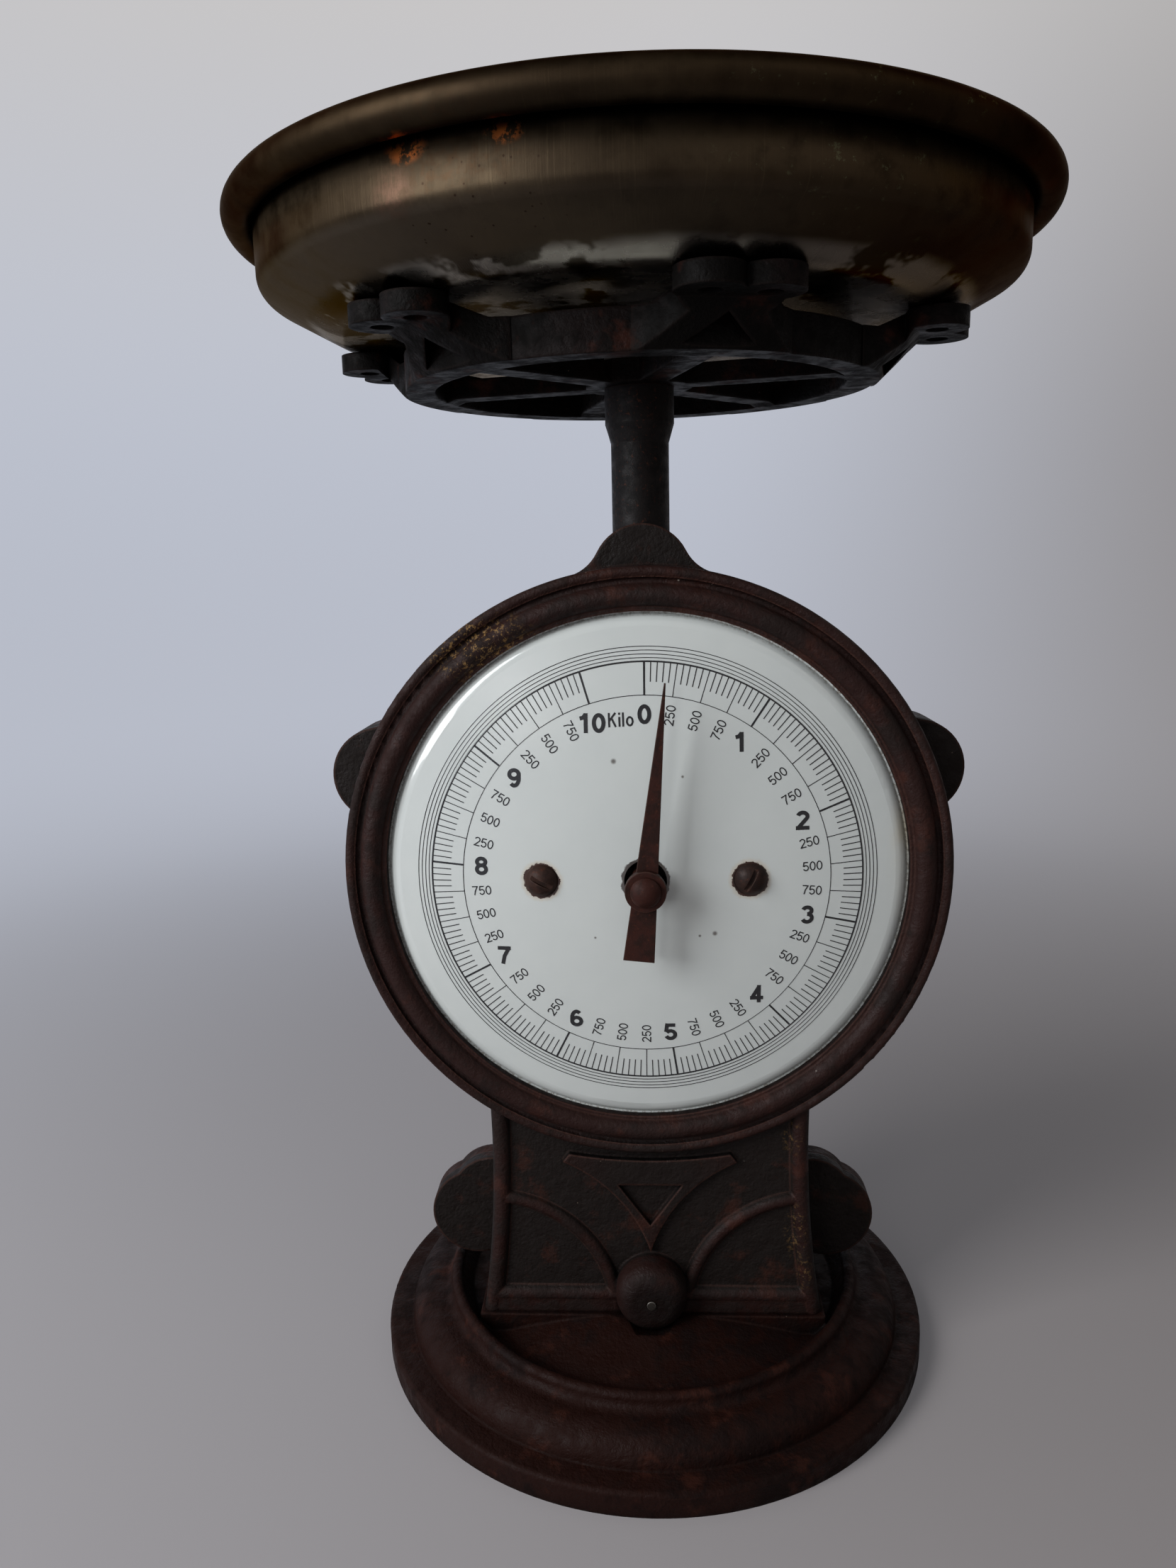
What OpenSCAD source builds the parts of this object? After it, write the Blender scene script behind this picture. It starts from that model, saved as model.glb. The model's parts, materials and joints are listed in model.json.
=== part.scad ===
// Kitchen spring scale: cast iron stand, enamel dial, brass pan.
// Z points up, the dial faces -Y, and the origin lies on the table under the shaft.
// The housing is split on the plane y = 0, which holds the shaft's axis.

/* [Base] */
// Diameter of the round foot
base_d = 194; // [188:1:204]
// Height of the upright band round the foot
band_h = 8; // [6:0.5:9]
// Width of the flat shelf inside the band
shelf_w = 8.5; // [6:0.5:10]
// Radius of the rounded swell inside the shelf
swell_r = 9; // [7:0.5:10]
// Diameter over the ridge round the dish
ridge_d = 148; // [146:1:152]
// Height of the ridge above the table
ridge_h = 22; // [21:0.5:25]
// Width of the ridge's crest
ridge_w = 4; // [3:0.5:5]
// Height of the seat that the housing stands on
seat_h = 21.5; // [19.5:0.5:22]
// Height of the channel floor between the seat and the ridge
channel_z = 15; // [13:0.5:17]
// Wall of the base casting
base_wall = 5.5; // [4.5:0.5:6]

/* [Housing] */
// Height of the dial's centre above the table
dial_z = 178.5; // [170:0.5:190]
// Diameter of the dial ring
ring_d = 192; // [188:1:196]
// Wall of the housing behind the ring
shell_t = 6; // [5:0.5:7]
// Depth of the front casting, from the joint plane to the ring's face
front_depth = 36; // [35:0.5:38]
// Depth of the rear cover
rear_depth = 28; // [26:0.5:34]
// Radius of the rounded edge round the back of the cover
back_round = 14; // [10:1:18]
// Radius of an ear on the ring
ear_r = 16; // [14:0.5:17]
// How far an ear stands out of the ring
ear_out = 13; // [11:0.5:15]
// Radius of the hollow curve where an ear joins the ring
ear_fillet = 14; // [8:1:16]
// Thickness of a front ear
ear_t = 12; // [11:0.5:14]
// Thickness of a rear ear
rear_ear_t = 12; // [11:0.5:14]
// Radius of a flat lobe beside the neck
lobe_r = 16.4; // [15:0.2:17.4]
// Distance from the middle to a lobe's centre
lobe_x = 63.8; // [62:0.2:66]
// Height of a lobe's centre above the seat
lobe_rise = 20; // [18:0.5:22]
// Radius of the lobe's shoulder next to the neck
shoulder_r = 15.6; // [14:0.2:17]
// Thickness of a lobe on each casting
lobe_t = 5; // [4:0.5:7]

/* [Neck] */
// Width of the neck at its waist
neck_w = 105.6; // [98:0.2:110]
// How far the neck's foot flares out on each side
neck_flare = 5.1; // [3:0.1:7]
// Height of the waist above the seat
waist_rise = 63.5; // [58:0.5:68]
// Distance from the joint plane to the neck's front face
neck_depth = 34; // [33:0.5:35]
// Distance from the joint plane to the neck's back
neck_back = 24; // [21:0.5:26]
// Radius of the neck's rounded rear corners
neck_round = 10; // [8:0.5:12]
// Wall of the neck
neck_wall = 5; // [4:0.5:6]
// Radius of the rounded bar down each side of the panel
frame_r = 3.1; // [2.5:0.1:3.5]
// Height of the rounded sill under the panel
sill_h = 9; // [7:0.5:10]
// Depth of the panel behind its frame
panel_depth = 2.5; // [2:0.1:2.8]
// Radius of the curved ribs on the panel
rib_sweep = 43; // [40:0.5:45]
// Width of a curved rib
rib_w = 4.6; // [3:0.2:6]
// Diameter of the round boss at the foot of the neck
boss_d = 24; // [22:0.5:26]
// Radius of the boss's rounded edge
boss_round = 6; // [4:0.5:8]
// Height of the boss's centre above the seat
boss_rise = 9.5; // [9:0.5:12]
// How far the boss stands out of the neck's face
boss_out = 9; // [6:0.5:11]
// Diameter of the pin in the boss
boss_pin_d = 3; // [2.5:0.1:4]

/* [Dial] */
// Width of the ring in front of the dial
bezel_w = 13.5; // [12.5:0.1:14.5]
// How far the dial reaches behind the ring's lip
dial_lap = 4.5; // [3:0.5:5.5]
// Thickness of the enamelled sheet
dial_t = 1.2; // [0.8:0.1:1.6]
// Rise of the domed dial from its rounded edge to its middle
dial_crown = 7.2; // [4:0.1:8]
// Width of the dial's rounded edge
dial_roll_w = 4; // [3.5:0.1:5]
// Drop of the dial's rounded edge
dial_drop = 2.5; // [1.8:0.1:2.8]
// Hole in the middle of the dial
dial_hole_d = 13.3; // [12.5:0.1:16]
// Distance from the middle to each dial screw
dial_screw_x = 32.4; // [31.8:0.2:40]
// Head diameter of a dial screw
dial_head_d = 10.4; // [9:0.2:12]

/* [Pointer] */
// Distance from the spindle to the pointer's tip
pointer_len = 62.6; // [50:0.2:70]
// Length of the pointer's tail
tail_len = 22.8; // [16:0.2:28]
// Width of the pointer beside its hub
pointer_w = 7.2; // [6:0.2:9]
// Width at the end of the tail
tail_w = 9.6; // [8:0.2:12]
// Thickness of the pointer
pointer_t = 1.2; // [0.8:0.1:2]
// Distance from the dial's face to the pointer's back
pointer_gap = 8.5; // [6:0.5:10]
// Diameter of the pointer's hub
hub_d = 12.6; // [11:0.2:13]
// Reading at which the pointer stands, in kilograms
reading = 0.172; // [0:0.001:0.5]

/* [Movement] */
// Module of the rack and pinion
gear_module = 0.6; // [0.55:0.05:0.65]
// Teeth of the pinion
pinion_teeth = 12; // [11:1:13]
// Width of the pinion along its spindle
pinion_w = 6.9; // [6:0.1:6.9]
// Diameter of the spindle
spindle_d = 5; // [4:0.1:5.5]
// Height of the movement plate
plate_h = 25; // [22:1:30]
// Thickness of the movement plate and of the rear bridge
plate_t = 2.5; // [2:0.1:2.5]
// Distance from the joint plane to the back of the movement plate
plate_back = 24.5; // [24.2:0.1:25.5]
// Distance from the middle to the inside of a bridge leg
bridge_x = 20; // [17:0.5:22]

/* [Plunger] */
// Diameter of the shaft
shaft_d = 18.7; // [17:0.1:19.5]
// Diameter of the collar under the pan carrier
collar_d = 22.2; // [20.5:0.1:26]
// Diameter of the shaft's tail and of its top stud
tail_d = 12; // [10:0.5:13]
// Shaft that shows between the housing and its cone
shaft_show = 25.5; // [24:0.5:40]
// Height of the cone between shaft and collar
cone_h = 6; // [4:0.5:8]
// Length of the collar
collar_h = 11; // [8:0.5:16]
// Outer diameter of the top bush
top_bush_d = 24; // [23:0.5:25]
// Length of each bush
bush_h = 14; // [12:0.5:16]
// Outer diameter of the lower bush
low_bush_d = 18; // [17:0.5:20]
// Drop of the crosshead below the dial's centre
crosshead_drop = 33.5; // [31:0.5:38]
// Height of the crosshead's hub
crosshead_h = 10; // [9:0.5:11]

/* [Springs] */
// Wire diameter
wire_d = 2; // [1.6:0.1:2.4]
// Mean diameter of the coils
coil_d = 16; // [13:0.5:18]
// Whole curls of one spring
curls = 15; // [10:1:18]
// Distance from the middle to each spring
spring_x = 38.5; // [36:0.5:42]
// Rise of the hanger bar above the dial's centre
hanger_rise = 61.5; // [56:0.5:64]
// Diameter of the hanger bar and of the crosshead's arms
bar_d = 9; // [8:0.5:10]
// Diameter of the grooves that the spring loops lie in
groove_d = 5; // [4.5:0.1:6]

/* [Pan carrier] */
// Number of arms
arms = 6; // [5:1:7]
// Turn of the first arm from the right-hand side
arm_turn = -74; // [-90:1:-60]
// Diameter of the carrier's hub
carrier_hub_d = 34; // [30:1:38]
// Height of the hub
carrier_hub_h = 7; // [6:0.5:8]
// Outer diameter of the carrier's ring
carrier_ring_d = 148; // [140:1:152]
// Width of the ring
carrier_ring_w = 9; // [8:0.5:12]
// Height of the ring
carrier_ring_h = 11; // [10:0.5:12]
// Width of a spoke
spoke_w = 9; // [7:0.5:11]
// Distance from the shaft to the pads' holes
pad_r = 91; // [88:0.5:94]
// Radius of each of a pad's two lobes
pad_lobe_r = 9; // [7.5:0.5:10]
// Distance between a pad's holes
pad_hole_gap = 15.6; // [13:0.2:17]
// Diameter of a pad's holes
pad_hole_d = 6.5; // [4:0.5:8]
// Thickness of a pad
pad_t = 5.5; // [4:0.5:6]
// Rise from the ring's foot to the pads' tops
pad_rise = 16; // [15:0.5:20]

/* [Pan] */
// Outer diameter of the pan's wall
pan_d = 232; // [220:1:260]
// Height from the pan's bottom to the top of its rim
pan_h = 35; // [32:0.5:60]
// Thickness of the brass sheet
pan_t = 1.4; // [1:0.1:2]
// Small radius where the wall turns in
corner_r = 9; // [7:0.5:12]
// Large radius that runs into the flat bottom
sweep_r = 36; // [30:1:40]
// Width of the rounded corner, seen from below
corner_w = 26; // [20:1:28]
// Diameter of the rolled rim
rim_d = 9.6; // [8:0.2:12]

/* [Fits] */
// Radial clearance of a shaft in its bush
running = 0.05; // [0.02:0.01:0.1]
// Clearance between pieces that only lie close
play = 0.3; // [0.2:0.05:0.4]
// Clearance of a piece in its seat
seat_gap = 0.05; // [0.02:0.01:0.08]

/* [Hidden] */
$fn = 96;

// Colours
iron = [0.17, 0.12, 0.11];
old_brass = [0.38, 0.31, 0.17];
steel = [0.33, 0.30, 0.28];
rust = [0.28, 0.15, 0.12];
enamel = [0.86, 0.90, 0.95];
rubber = [0.09, 0.09, 0.09];

// Base
base_r = base_d / 2;
edge_round = 1.5;
swell_x = base_r - shelf_w - swell_r;
swell_top = band_h + swell_r;
ridge_r = ridge_d / 2;
dish_r = ridge_r - ridge_w;
ridge_side = ridge_h - ridge_w / 2;
cove_r = min(ridge_side - swell_top, swell_x - ridge_r);
seat_r = 38;
seat_margin = 1.2;
channel_w = 4;
under_z = channel_z - base_wall;
pad_drop = 4;
bolt_x = 34;
bolt_y = 19;
bolt_d = 6;
bolt_head_w = 10;
bolt_head_h = 4;
bolt_lug_r = 9;
bolt_lug_h = 15;

// Housing
ring_r = ring_d / 2;
shell_in_r = ring_r - shell_t;
lip_r = ring_r - bezel_w;
bezel_t = 2.6;
lip_back = front_depth - bezel_t;
roll_r = 3.4;
roll_at = (lip_r + ring_r) / 2 - 1.9;
bead_r = 1.7;
groove_r = 1.1;
groove_at = ring_r - 2 * bead_r - groove_r;
ear_reach = ring_r + ear_out;
ear_at = ear_reach - ear_r;
ear_lap = 0.15;
side_ears = [18, 162];
screw_d = 5;
cover_head_d = 9;
cover_head_h = 3.5;
screw_reach = ring_r + 5;
lobe_z = seat_h + lobe_rise;
shoulder_x = lobe_x - 6.3;
shoulder_z = lobe_z + 6;

// Neck
half_waist = neck_w / 2;
neck_foot_w = neck_w + 2 * neck_flare;
bow_r = (waist_rise * waist_rise + neck_flare * neck_flare) / (2 * neck_flare);
waist_z = seat_h + waist_rise;
neck_top = dial_z - sqrt(ring_r * ring_r - half_waist * half_waist) + 4;
panel_face = neck_depth - panel_depth;
panel_back = panel_face - 4;
frame_at = neck_depth - frame_r;
frame_inset = frame_r - 0.2;
sill_r = frame_r - 0.1;
sill_z = seat_h + sill_h - sill_r;
sill_face = frame_at + sill_r - 0.4;
boss_r = boss_d / 2;
boss_z = seat_h + boss_rise;
boss_face = neck_depth + boss_out;
lug_r = 9;
post_d = 10;
post_foot = boss_z - 7;

// Relief on the neck's panel: a wide V with hollow sides and an arched top, and a window in it
vee_face = neck_depth - 0.4;
vee_top = waist_z - 6.5;
vee_top_r = 158;
vee_side_r = 53;
vee_side_x = 50.9;
vee_side_z = vee_top - 48.9;
vee_reach = 35;
window_z = vee_top - 9;
window_x = 10.7;
window_h = 15;
rib_x = neck_foot_w / 2 - 2.9;

// Dial and its screws
dial_r = lip_r + dial_lap;
dial_rim_face = lip_back - 0.2;
dial_face = dial_rim_face + dial_drop + dial_crown;
dome_r = lip_r - 0.5 - dial_roll_w;
dome_ball_r = (dome_r * dome_r + dial_crown * dial_crown) / (2 * dial_crown);
dome_tilt = asin(dome_r / dome_ball_r);
roll_ball_r = (dial_roll_w * dial_roll_w + dial_drop * dial_drop)
    / (2 * (dial_drop * cos(dome_tilt) - dial_roll_w * sin(dome_tilt)));
dial_screw_seat = dial_face - dome_ball_r + sqrt(dome_ball_r * dome_ball_r - dial_screw_x * dial_screw_x);
dial_shank_d = 4.8;
post_wall = 2.1;
head_h = 3.2;

// Movement
pitch_r = gear_module * pinion_teeth / 2;
press_angle = 20;
base_circle_r = pitch_r * cos(press_angle);
tooth_tip_r = pitch_r + 0.85 * gear_module;
tooth_root_r = pitch_r - 1.2 * gear_module;
backlash = 0.2;
rack_pitch = PI * gear_module;
degrees_per_kilo = 34.3;
capacity = 10;
pointer_turn = reading * degrees_per_kilo;
travel = (capacity - reading) * degrees_per_kilo * PI / 180 * pitch_r;
plate_face = plate_back + plate_t;
plate_end_x = shell_in_r - 4;
lug_x = shell_in_r - 11;
plate_lug_r = 6;
plate_lug_h = 14;
plate_screw_d = 4;
plate_head_d = 8;
plate_head_h = 2.6;
bridge_screw_d = 3;
bridge_head_d = 5.6;
bridge_head_h = 2.2;
pinion_back = plate_back - 0.7 - pinion_w;
bridge_face = pinion_back - 0.9;
bridge_back = bridge_face - plate_t;
bridge_foot = 11;
pointer_back = dial_face + pointer_gap;
pointer_front = pointer_back + pointer_t;
hub_t = 2.4;
cap_r = 4.6;
cap_rise = 2.4;
cap_ball_r = (cap_r * cap_r + cap_rise * cap_rise) / (2 * cap_rise);
cap_z = pointer_front + hub_t + 1.2;
spindle_end = cap_z + 0.7;
bridge_h = 13;
bearing_d = 9;
rack_w = pinion_w - 1;
rack_face = plate_back - 1.1;
rack_bar = 5;
rack_tip = pitch_r - 0.75 * gear_module;
rack_root = pitch_r + 1.15 * gear_module;

// Plunger, from the housing's top upwards and from the crosshead downwards
shaft_r = shaft_d / 2;
cone_z = dial_z + ear_reach + shaft_show - 0.5 * play;
collar_z = cone_z + cone_h;
carrier_z = collar_z + collar_h;
stud_top = carrier_z + carrier_hub_h + 5;
top_bush_r = top_bush_d / 2;
top_bush_z = dial_z + ring_r - bush_h - 0.5;
guide_r = top_bush_r + 4;
low_bush_r = low_bush_d / 2;
low_bush_z = dial_z - ring_r - 0.5;
low_guide_r = low_bush_r + 4;
crosshead_z = dial_z - crosshead_drop;
crosshead_top = crosshead_z + crosshead_h / 2;
crosshead_foot = crosshead_top - crosshead_h;
crosshead_r = 13;
tail_nut_h = 8;
tail_end = low_bush_z - 4;
buffer_h = 6;
buffer_top = tail_end - travel - play;
rack_lug_x = rack_root + rack_bar / 2;
rack_lug_w = rack_bar + 5;
hanger_z = dial_z + hanger_rise;
hanger_eye_r = shaft_r + 5.6;
bar_r = bar_d / 2;
groove_half = 3.5;
hanger_end = sqrt(shell_in_r * shell_in_r - hanger_rise * hanger_rise) + 4;
arm_end = spring_x + groove_half + 4;

// Springs: a coil with a loop at each end, upright beside the shaft
wire_r = wire_d / 2;
coil_r = coil_d / 2;
loop_r = groove_d / 2 + wire_r + 0.8;
loop_low = crosshead_z - groove_d / 2 - play - wire_r + loop_r;
loop_high = hanger_z + groove_d / 2 + play + wire_r - loop_r;
lead_h = 7;
coil_low = loop_low + lead_h;
coil_high = loop_high - lead_h;
curl_rings = 8;
wire_sides = 6;
lead_turn = 60;
coil_turn = 360 * curls + 60;
spring_mid = (loop_low + loop_high) / 2;

// Pan carrier and pan
hub_r = carrier_hub_d / 2;
carrier_r = carrier_ring_d / 2;
carrier_in_r = carrier_r - carrier_ring_w;
pad_top = carrier_z - 1 + pad_rise;
ring_foot = carrier_z - 1;
hub_top = carrier_z + carrier_hub_h;
arm_neck_w = 17;
arm_foot_w = 44;
arm_neck_r = pad_r - 7;
web_r = 83;
carrier_nut_h = 5;
pan_r = pan_d / 2;
flat_r = pan_r - corner_w;
sweep_z = pad_top + sweep_r;
corner_z = sweep_z - sqrt((sweep_r - corner_r) * (sweep_r - corner_r)
    - (corner_w - corner_r) * (corner_w - corner_r));
pan_top = pad_top + pan_h;
rim_r = rim_d / 2;
rim_at = pan_r + rim_r - 1.1;
rim_z = pan_top - rim_r;
rim_bore_r = rim_r - 1.3;

// Helpers: an outline drawn in x and z, stood up between two depths behind the front
module upright(near, far) {
    translate([0, -far, 0]) rotate([90, 0, 0]) linear_extrude(near - far) children();
}

// A profile of radius and depth, turned about the dial's axis
module about_dial() {
    translate([0, 0, dial_z]) rotate([90, 0, 0]) rotate_extrude() children();
}

// A round bar along Y between two depths
module y_bar(d, near, far, x = 0, z = 0) {
    translate([x, -far, z]) rotate([90, 0, 0]) cylinder(d = d, h = near - far);
}

// A round bar along X between two places
module x_bar(d, from, to) {
    translate([from, 0, 0]) rotate([0, 90, 0]) cylinder(d = d, h = to - from);
}

// Hexagon nut body standing on its base
module hexagon(across, h) {
    cylinder(d = across / cos(30), h = h, $fn = 6);
}

// Round head with a slot, standing on its underside
module slotted_head(d, h, slot = 1.2) {
    ball_r = (d * d / 4 + h * h) / (2 * h);
    difference() {
        intersection() {
            translate([0, 0, h - ball_r]) sphere(r = ball_r, $fn = 160);
            cylinder(d = d, h = h);
        }
        translate([-d, -slot / 2, h - 1.4]) cube([2 * d, slot, 2]);
    }
}

// Base: a revolved foot, hollow below, with a raised seat for the neck
module base_profile() {
    difference() {
        union() {
            square([base_r - edge_round, band_h]);
            square([base_r, band_h - edge_round]);
            translate([base_r - edge_round, band_h - edge_round]) circle(r = edge_round);
            intersection() {
                translate([swell_x, band_h]) circle(r = swell_r);
                square([base_r, swell_top]);
            }
            square([swell_x, swell_top]);
            translate([dish_r, 0]) square([ridge_w, ridge_side]);
            translate([ridge_r - ridge_w / 2, ridge_side]) circle(d = ridge_w);
            difference() {
                translate([ridge_r - 0.1, swell_top - 0.1]) square(cove_r + 0.1);
                translate([ridge_r + cove_r, swell_top + cove_r]) circle(r = cove_r);
            }
            square([dish_r, seat_h]);
        }
        polygon([[seat_r, seat_h], [dish_r - 2 * channel_w, channel_z], [dish_r - channel_w, channel_z],
            [dish_r, ridge_side], [dish_r, ridge_h + 1], [seat_r, ridge_h + 1]]);
        polygon([[0, -1], [base_r - base_wall, -1], [base_r - base_wall, 1], [swell_x + 1, under_z],
            [0, under_z]]);
    }
}

module base() color(iron) difference() {
    union() {
        rotate_extrude() base_profile();
        intersection() {
            translate([-neck_foot_w / 2 - seat_margin, -neck_depth - seat_margin, under_z + 1])
                cube([neck_foot_w + 2 * seat_margin, neck_depth + neck_back + 2 * seat_margin,
                    seat_h - under_z - 1]);
            cylinder(r = dish_r - 0.5, h = seat_h);
        }
        for (side = [-1, 1]) translate([side * bolt_x, -bolt_y, under_z - pad_drop])
            cylinder(r = bolt_lug_r, h = pad_drop + 1);
    }
    for (side = [-1, 1]) translate([side * bolt_x, -bolt_y, 0])
        cylinder(d = bolt_d + 2 * seat_gap, h = 2 * seat_h);
    y_bar(boss_d + 2 * play, boss_face + play, panel_back - play, 0, boss_z);
}

module base_bolts() color(steel) for (side = [-1, 1])
    translate([side * bolt_x, -bolt_y, under_z - pad_drop]) {
        translate([0, 0, -bolt_head_h]) hexagon(bolt_head_w, bolt_head_h);
        cylinder(d = bolt_d, h = seat_h - under_z + pad_drop + bolt_lug_h - 4);
    }

// Housing: the neck's outline, drawn in by inset, with sides that bow in at the waist
module neck_outline(inset = 0, foot = seat_h) {
    difference() {
        translate([-neck_foot_w / 2 - 1, foot]) square([neck_foot_w + 2, neck_top - foot]);
        for (side = [-1, 1]) translate([side * (half_waist + bow_r), waist_z])
            circle(r = bow_r + inset, $fn = 720);
    }
}

// An ear at an angle on the ring, with hollow curves into it
module ear_outline(angle) {
    near = ring_r + ear_fillet - ear_lap;
    turn = acos((ear_at * ear_at + near * near - pow(ear_r + ear_fillet, 2)) / (2 * ear_at * near));
    translate([0, dial_z]) rotate(angle) difference() {
        union() {
            translate([ear_at, 0]) circle(r = ear_r);
            difference() {
                polygon([[0, 0], near * [cos(turn), -sin(turn)], [ear_at, 0],
                    near * [cos(turn), sin(turn)]]);
                for (side = [-1, 1]) rotate(side * turn) translate([near, 0]) circle(r = ear_fillet);
            }
        }
        circle(r = ring_r - 1);
    }
}

// A lobe on each side of the neck, with a shoulder over it
module lobe_outline() for (side = [-1, 1]) {
    translate([side * lobe_x, lobe_z]) circle(r = lobe_r);
    translate([side * shoulder_x, shoulder_z]) circle(r = shoulder_r);
}

module ring_profile() difference() {
    union() {
        translate([shell_in_r, 0]) square([shell_t, front_depth - bead_r]);
        translate([lip_r, lip_back]) square([ring_r - bead_r - lip_r, bezel_t]);
        translate([ring_r - bead_r, front_depth - bead_r + 0.6]) circle(r = bead_r);
        translate([roll_at, front_depth - 0.6]) circle(r = roll_r);
    }
    translate([groove_at, front_depth]) circle(r = groove_r);
    square([shell_in_r, lip_back]);
}

// Bores that both castings share, cut half from each
module shared_bores() {
    translate([0, 0, top_bush_z]) cylinder(r = top_bush_r + seat_gap, h = bush_h);
    translate([0, 0, top_bush_z - 20]) cylinder(r = shaft_r + 2 * play, h = ear_reach);
    translate([0, 0, low_bush_z]) cylinder(r = low_bush_r + seat_gap, h = bush_h);
    translate([0, 0, low_bush_z - 20]) cylinder(d = tail_d + 4 * play, h = bush_h + 30);
    translate([0, 0, hanger_z]) x_bar(bar_d + 2 * seat_gap, -hanger_end, hanger_end);
}

// Walls that hold the two bushes, one half in each casting
module bush_walls(near, far) {
    intersection() {
        translate([0, 0, top_bush_z - 2]) cylinder(r = guide_r, h = bush_h + 2);
        upright(near, far) translate([0, dial_z]) circle(r = ring_r - 1);
    }
    intersection() {
        translate([0, 0, low_bush_z - 2]) cylinder(r = low_guide_r, h = bush_h + 4);
        upright(near, far) translate([0, low_bush_z]) square([60, 80], center = true);
    }
}

// The rounded bars down the panel's sides and the sill under it
module panel_frame() {
    difference() {
        intersection() {
            for (side = [-1, 1]) translate([side * (half_waist + bow_r), -frame_at, waist_z])
                rotate([90, 0, 0]) rotate_extrude($fn = 720)
                    translate([bow_r + frame_inset, 0]) circle(r = frame_r, $fn = 32);
            upright(neck_depth + 1, panel_back) translate([-neck_foot_w / 2 - 1, seat_h])
                square([neck_foot_w + 2, neck_top - seat_h]);
        }
        upright(neck_depth + 1, 0) translate([0, dial_z]) circle(r = ring_r - 1);
    }
    intersection() {
        union() {
            translate([0, -frame_at, sill_z]) x_bar(2 * sill_r, -neck_foot_w, neck_foot_w);
            upright(sill_face, panel_back) translate([-neck_foot_w, seat_h])
                square([2 * neck_foot_w, sill_z - seat_h]);
        }
        upright(neck_depth, panel_back) neck_outline(frame_inset, seat_h);
    }
}

// The raised V, and the curved ribs from the frame down to the boss
module panel_relief() {
    upright(vee_face, panel_back + 1) difference() {
        translate([0, vee_top - 20]) circle(r = vee_reach);
        translate([0, vee_top + vee_top_r]) circle(r = vee_top_r, $fn = 360);
        for (side = [-1, 1]) translate([side * vee_side_x, vee_side_z]) circle(r = vee_side_r, $fn = 180);
        polygon([[-window_x, window_z], [window_x, window_z], [0, window_z - window_h]]);
    }
    intersection() {
        for (side = [-1, 1]) translate([side * rib_x, 0.1 - panel_face, seat_h])
            rotate([90, 0, 0]) rotate_extrude() translate([rib_sweep, 0]) circle(d = rib_w, $fn = 32);
        upright(neck_depth, panel_back + 1) neck_outline(frame_inset, seat_h + 1);
    }
}

module boss() translate([0, 0, boss_z]) rotate([90, 0, 0]) rotate_extrude() {
    translate([0, panel_back]) square([boss_r, boss_face - boss_round - panel_back]);
    translate([0, panel_back]) square([boss_r - boss_round, boss_face - panel_back]);
    translate([boss_r - boss_round, boss_face - boss_round]) circle(r = boss_round);
}

module front_casting() color(iron) difference() {
    union() {
        about_dial() ring_profile();
        difference() {
            upright(panel_face, 0) neck_outline();
            upright(panel_back, -1) neck_outline(neck_wall, seat_h - 1);
            upright(neck_depth, -1) translate([0, dial_z]) circle(r = ring_r - 1);
        }
        panel_frame();
        panel_relief();
        for (angle = side_ears) upright(ear_t, 0) ear_outline(angle);
        upright(ear_t, 0) ear_outline(90);
        difference() {
            upright(lobe_t, 0) lobe_outline();
            upright(lobe_t + 1, -1) neck_outline(neck_wall);
        }
        bush_walls(front_depth - 6, 0);
        boss();
        y_bar(2 * lug_r, panel_back + 1, -lug_r + 1, 0, boss_z);
        for (side = [-1, 1]) {
            translate([side * bolt_x, -bolt_y, seat_h]) cylinder(r = bolt_lug_r, h = bolt_lug_h);
            y_bar(2 * plate_lug_r, plate_back, plate_back - plate_lug_h, side * lug_x, dial_z);
            upright(plate_back, plate_back - plate_lug_h)
                translate([side * (lug_x + shell_in_r + 1) / 2, dial_z])
                    square([shell_in_r + 1 - lug_x, 2 * plate_lug_r - 2], center = true);
        }
    }
    shared_bores();
    y_bar(boss_pin_d + 2 * seat_gap, boss_face + 1, -lug_r, 0, boss_z);
    translate([0, 0, post_foot]) cylinder(d = post_d + 2 * seat_gap, h = 40);
    for (side = [-1, 1]) {
        translate([side * bolt_x, -bolt_y, seat_h - 1])
            cylinder(d = bolt_d + 2 * seat_gap, h = bolt_lug_h - 2);
        y_bar(screw_d + 2 * seat_gap, lobe_t - 1.5, -1, side * lobe_x, lobe_z);
        y_bar(plate_screw_d + 2 * seat_gap, plate_back + 1, plate_back - 9, side * lug_x, dial_z);
    }
    for (angle = side_ears) y_bar(screw_d + 2 * seat_gap, ear_t - 4, -1, screw_reach * cos(angle),
        dial_z + screw_reach * sin(angle));
}

module cup_profile(r, depth, round) {
    translate([0, -depth]) square([r - round, depth]);
    translate([0, round - depth]) square([r, depth - round]);
    translate([r - round, round - depth]) circle(r = round);
}

// Plan of the neck behind the joint plane, with rounded rear corners
module neck_plan(inset) {
    half = neck_foot_w / 2 - inset;
    translate([-half, -1]) square([2 * half, 1 + neck_back - neck_round]);
    translate([-half + neck_round - inset, 0]) square([2 * (half + inset - neck_round), neck_back - inset]);
    for (side = [-1, 1]) translate([side * (neck_foot_w / 2 - neck_round), neck_back - neck_round])
        circle(r = neck_round - inset);
}

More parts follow.
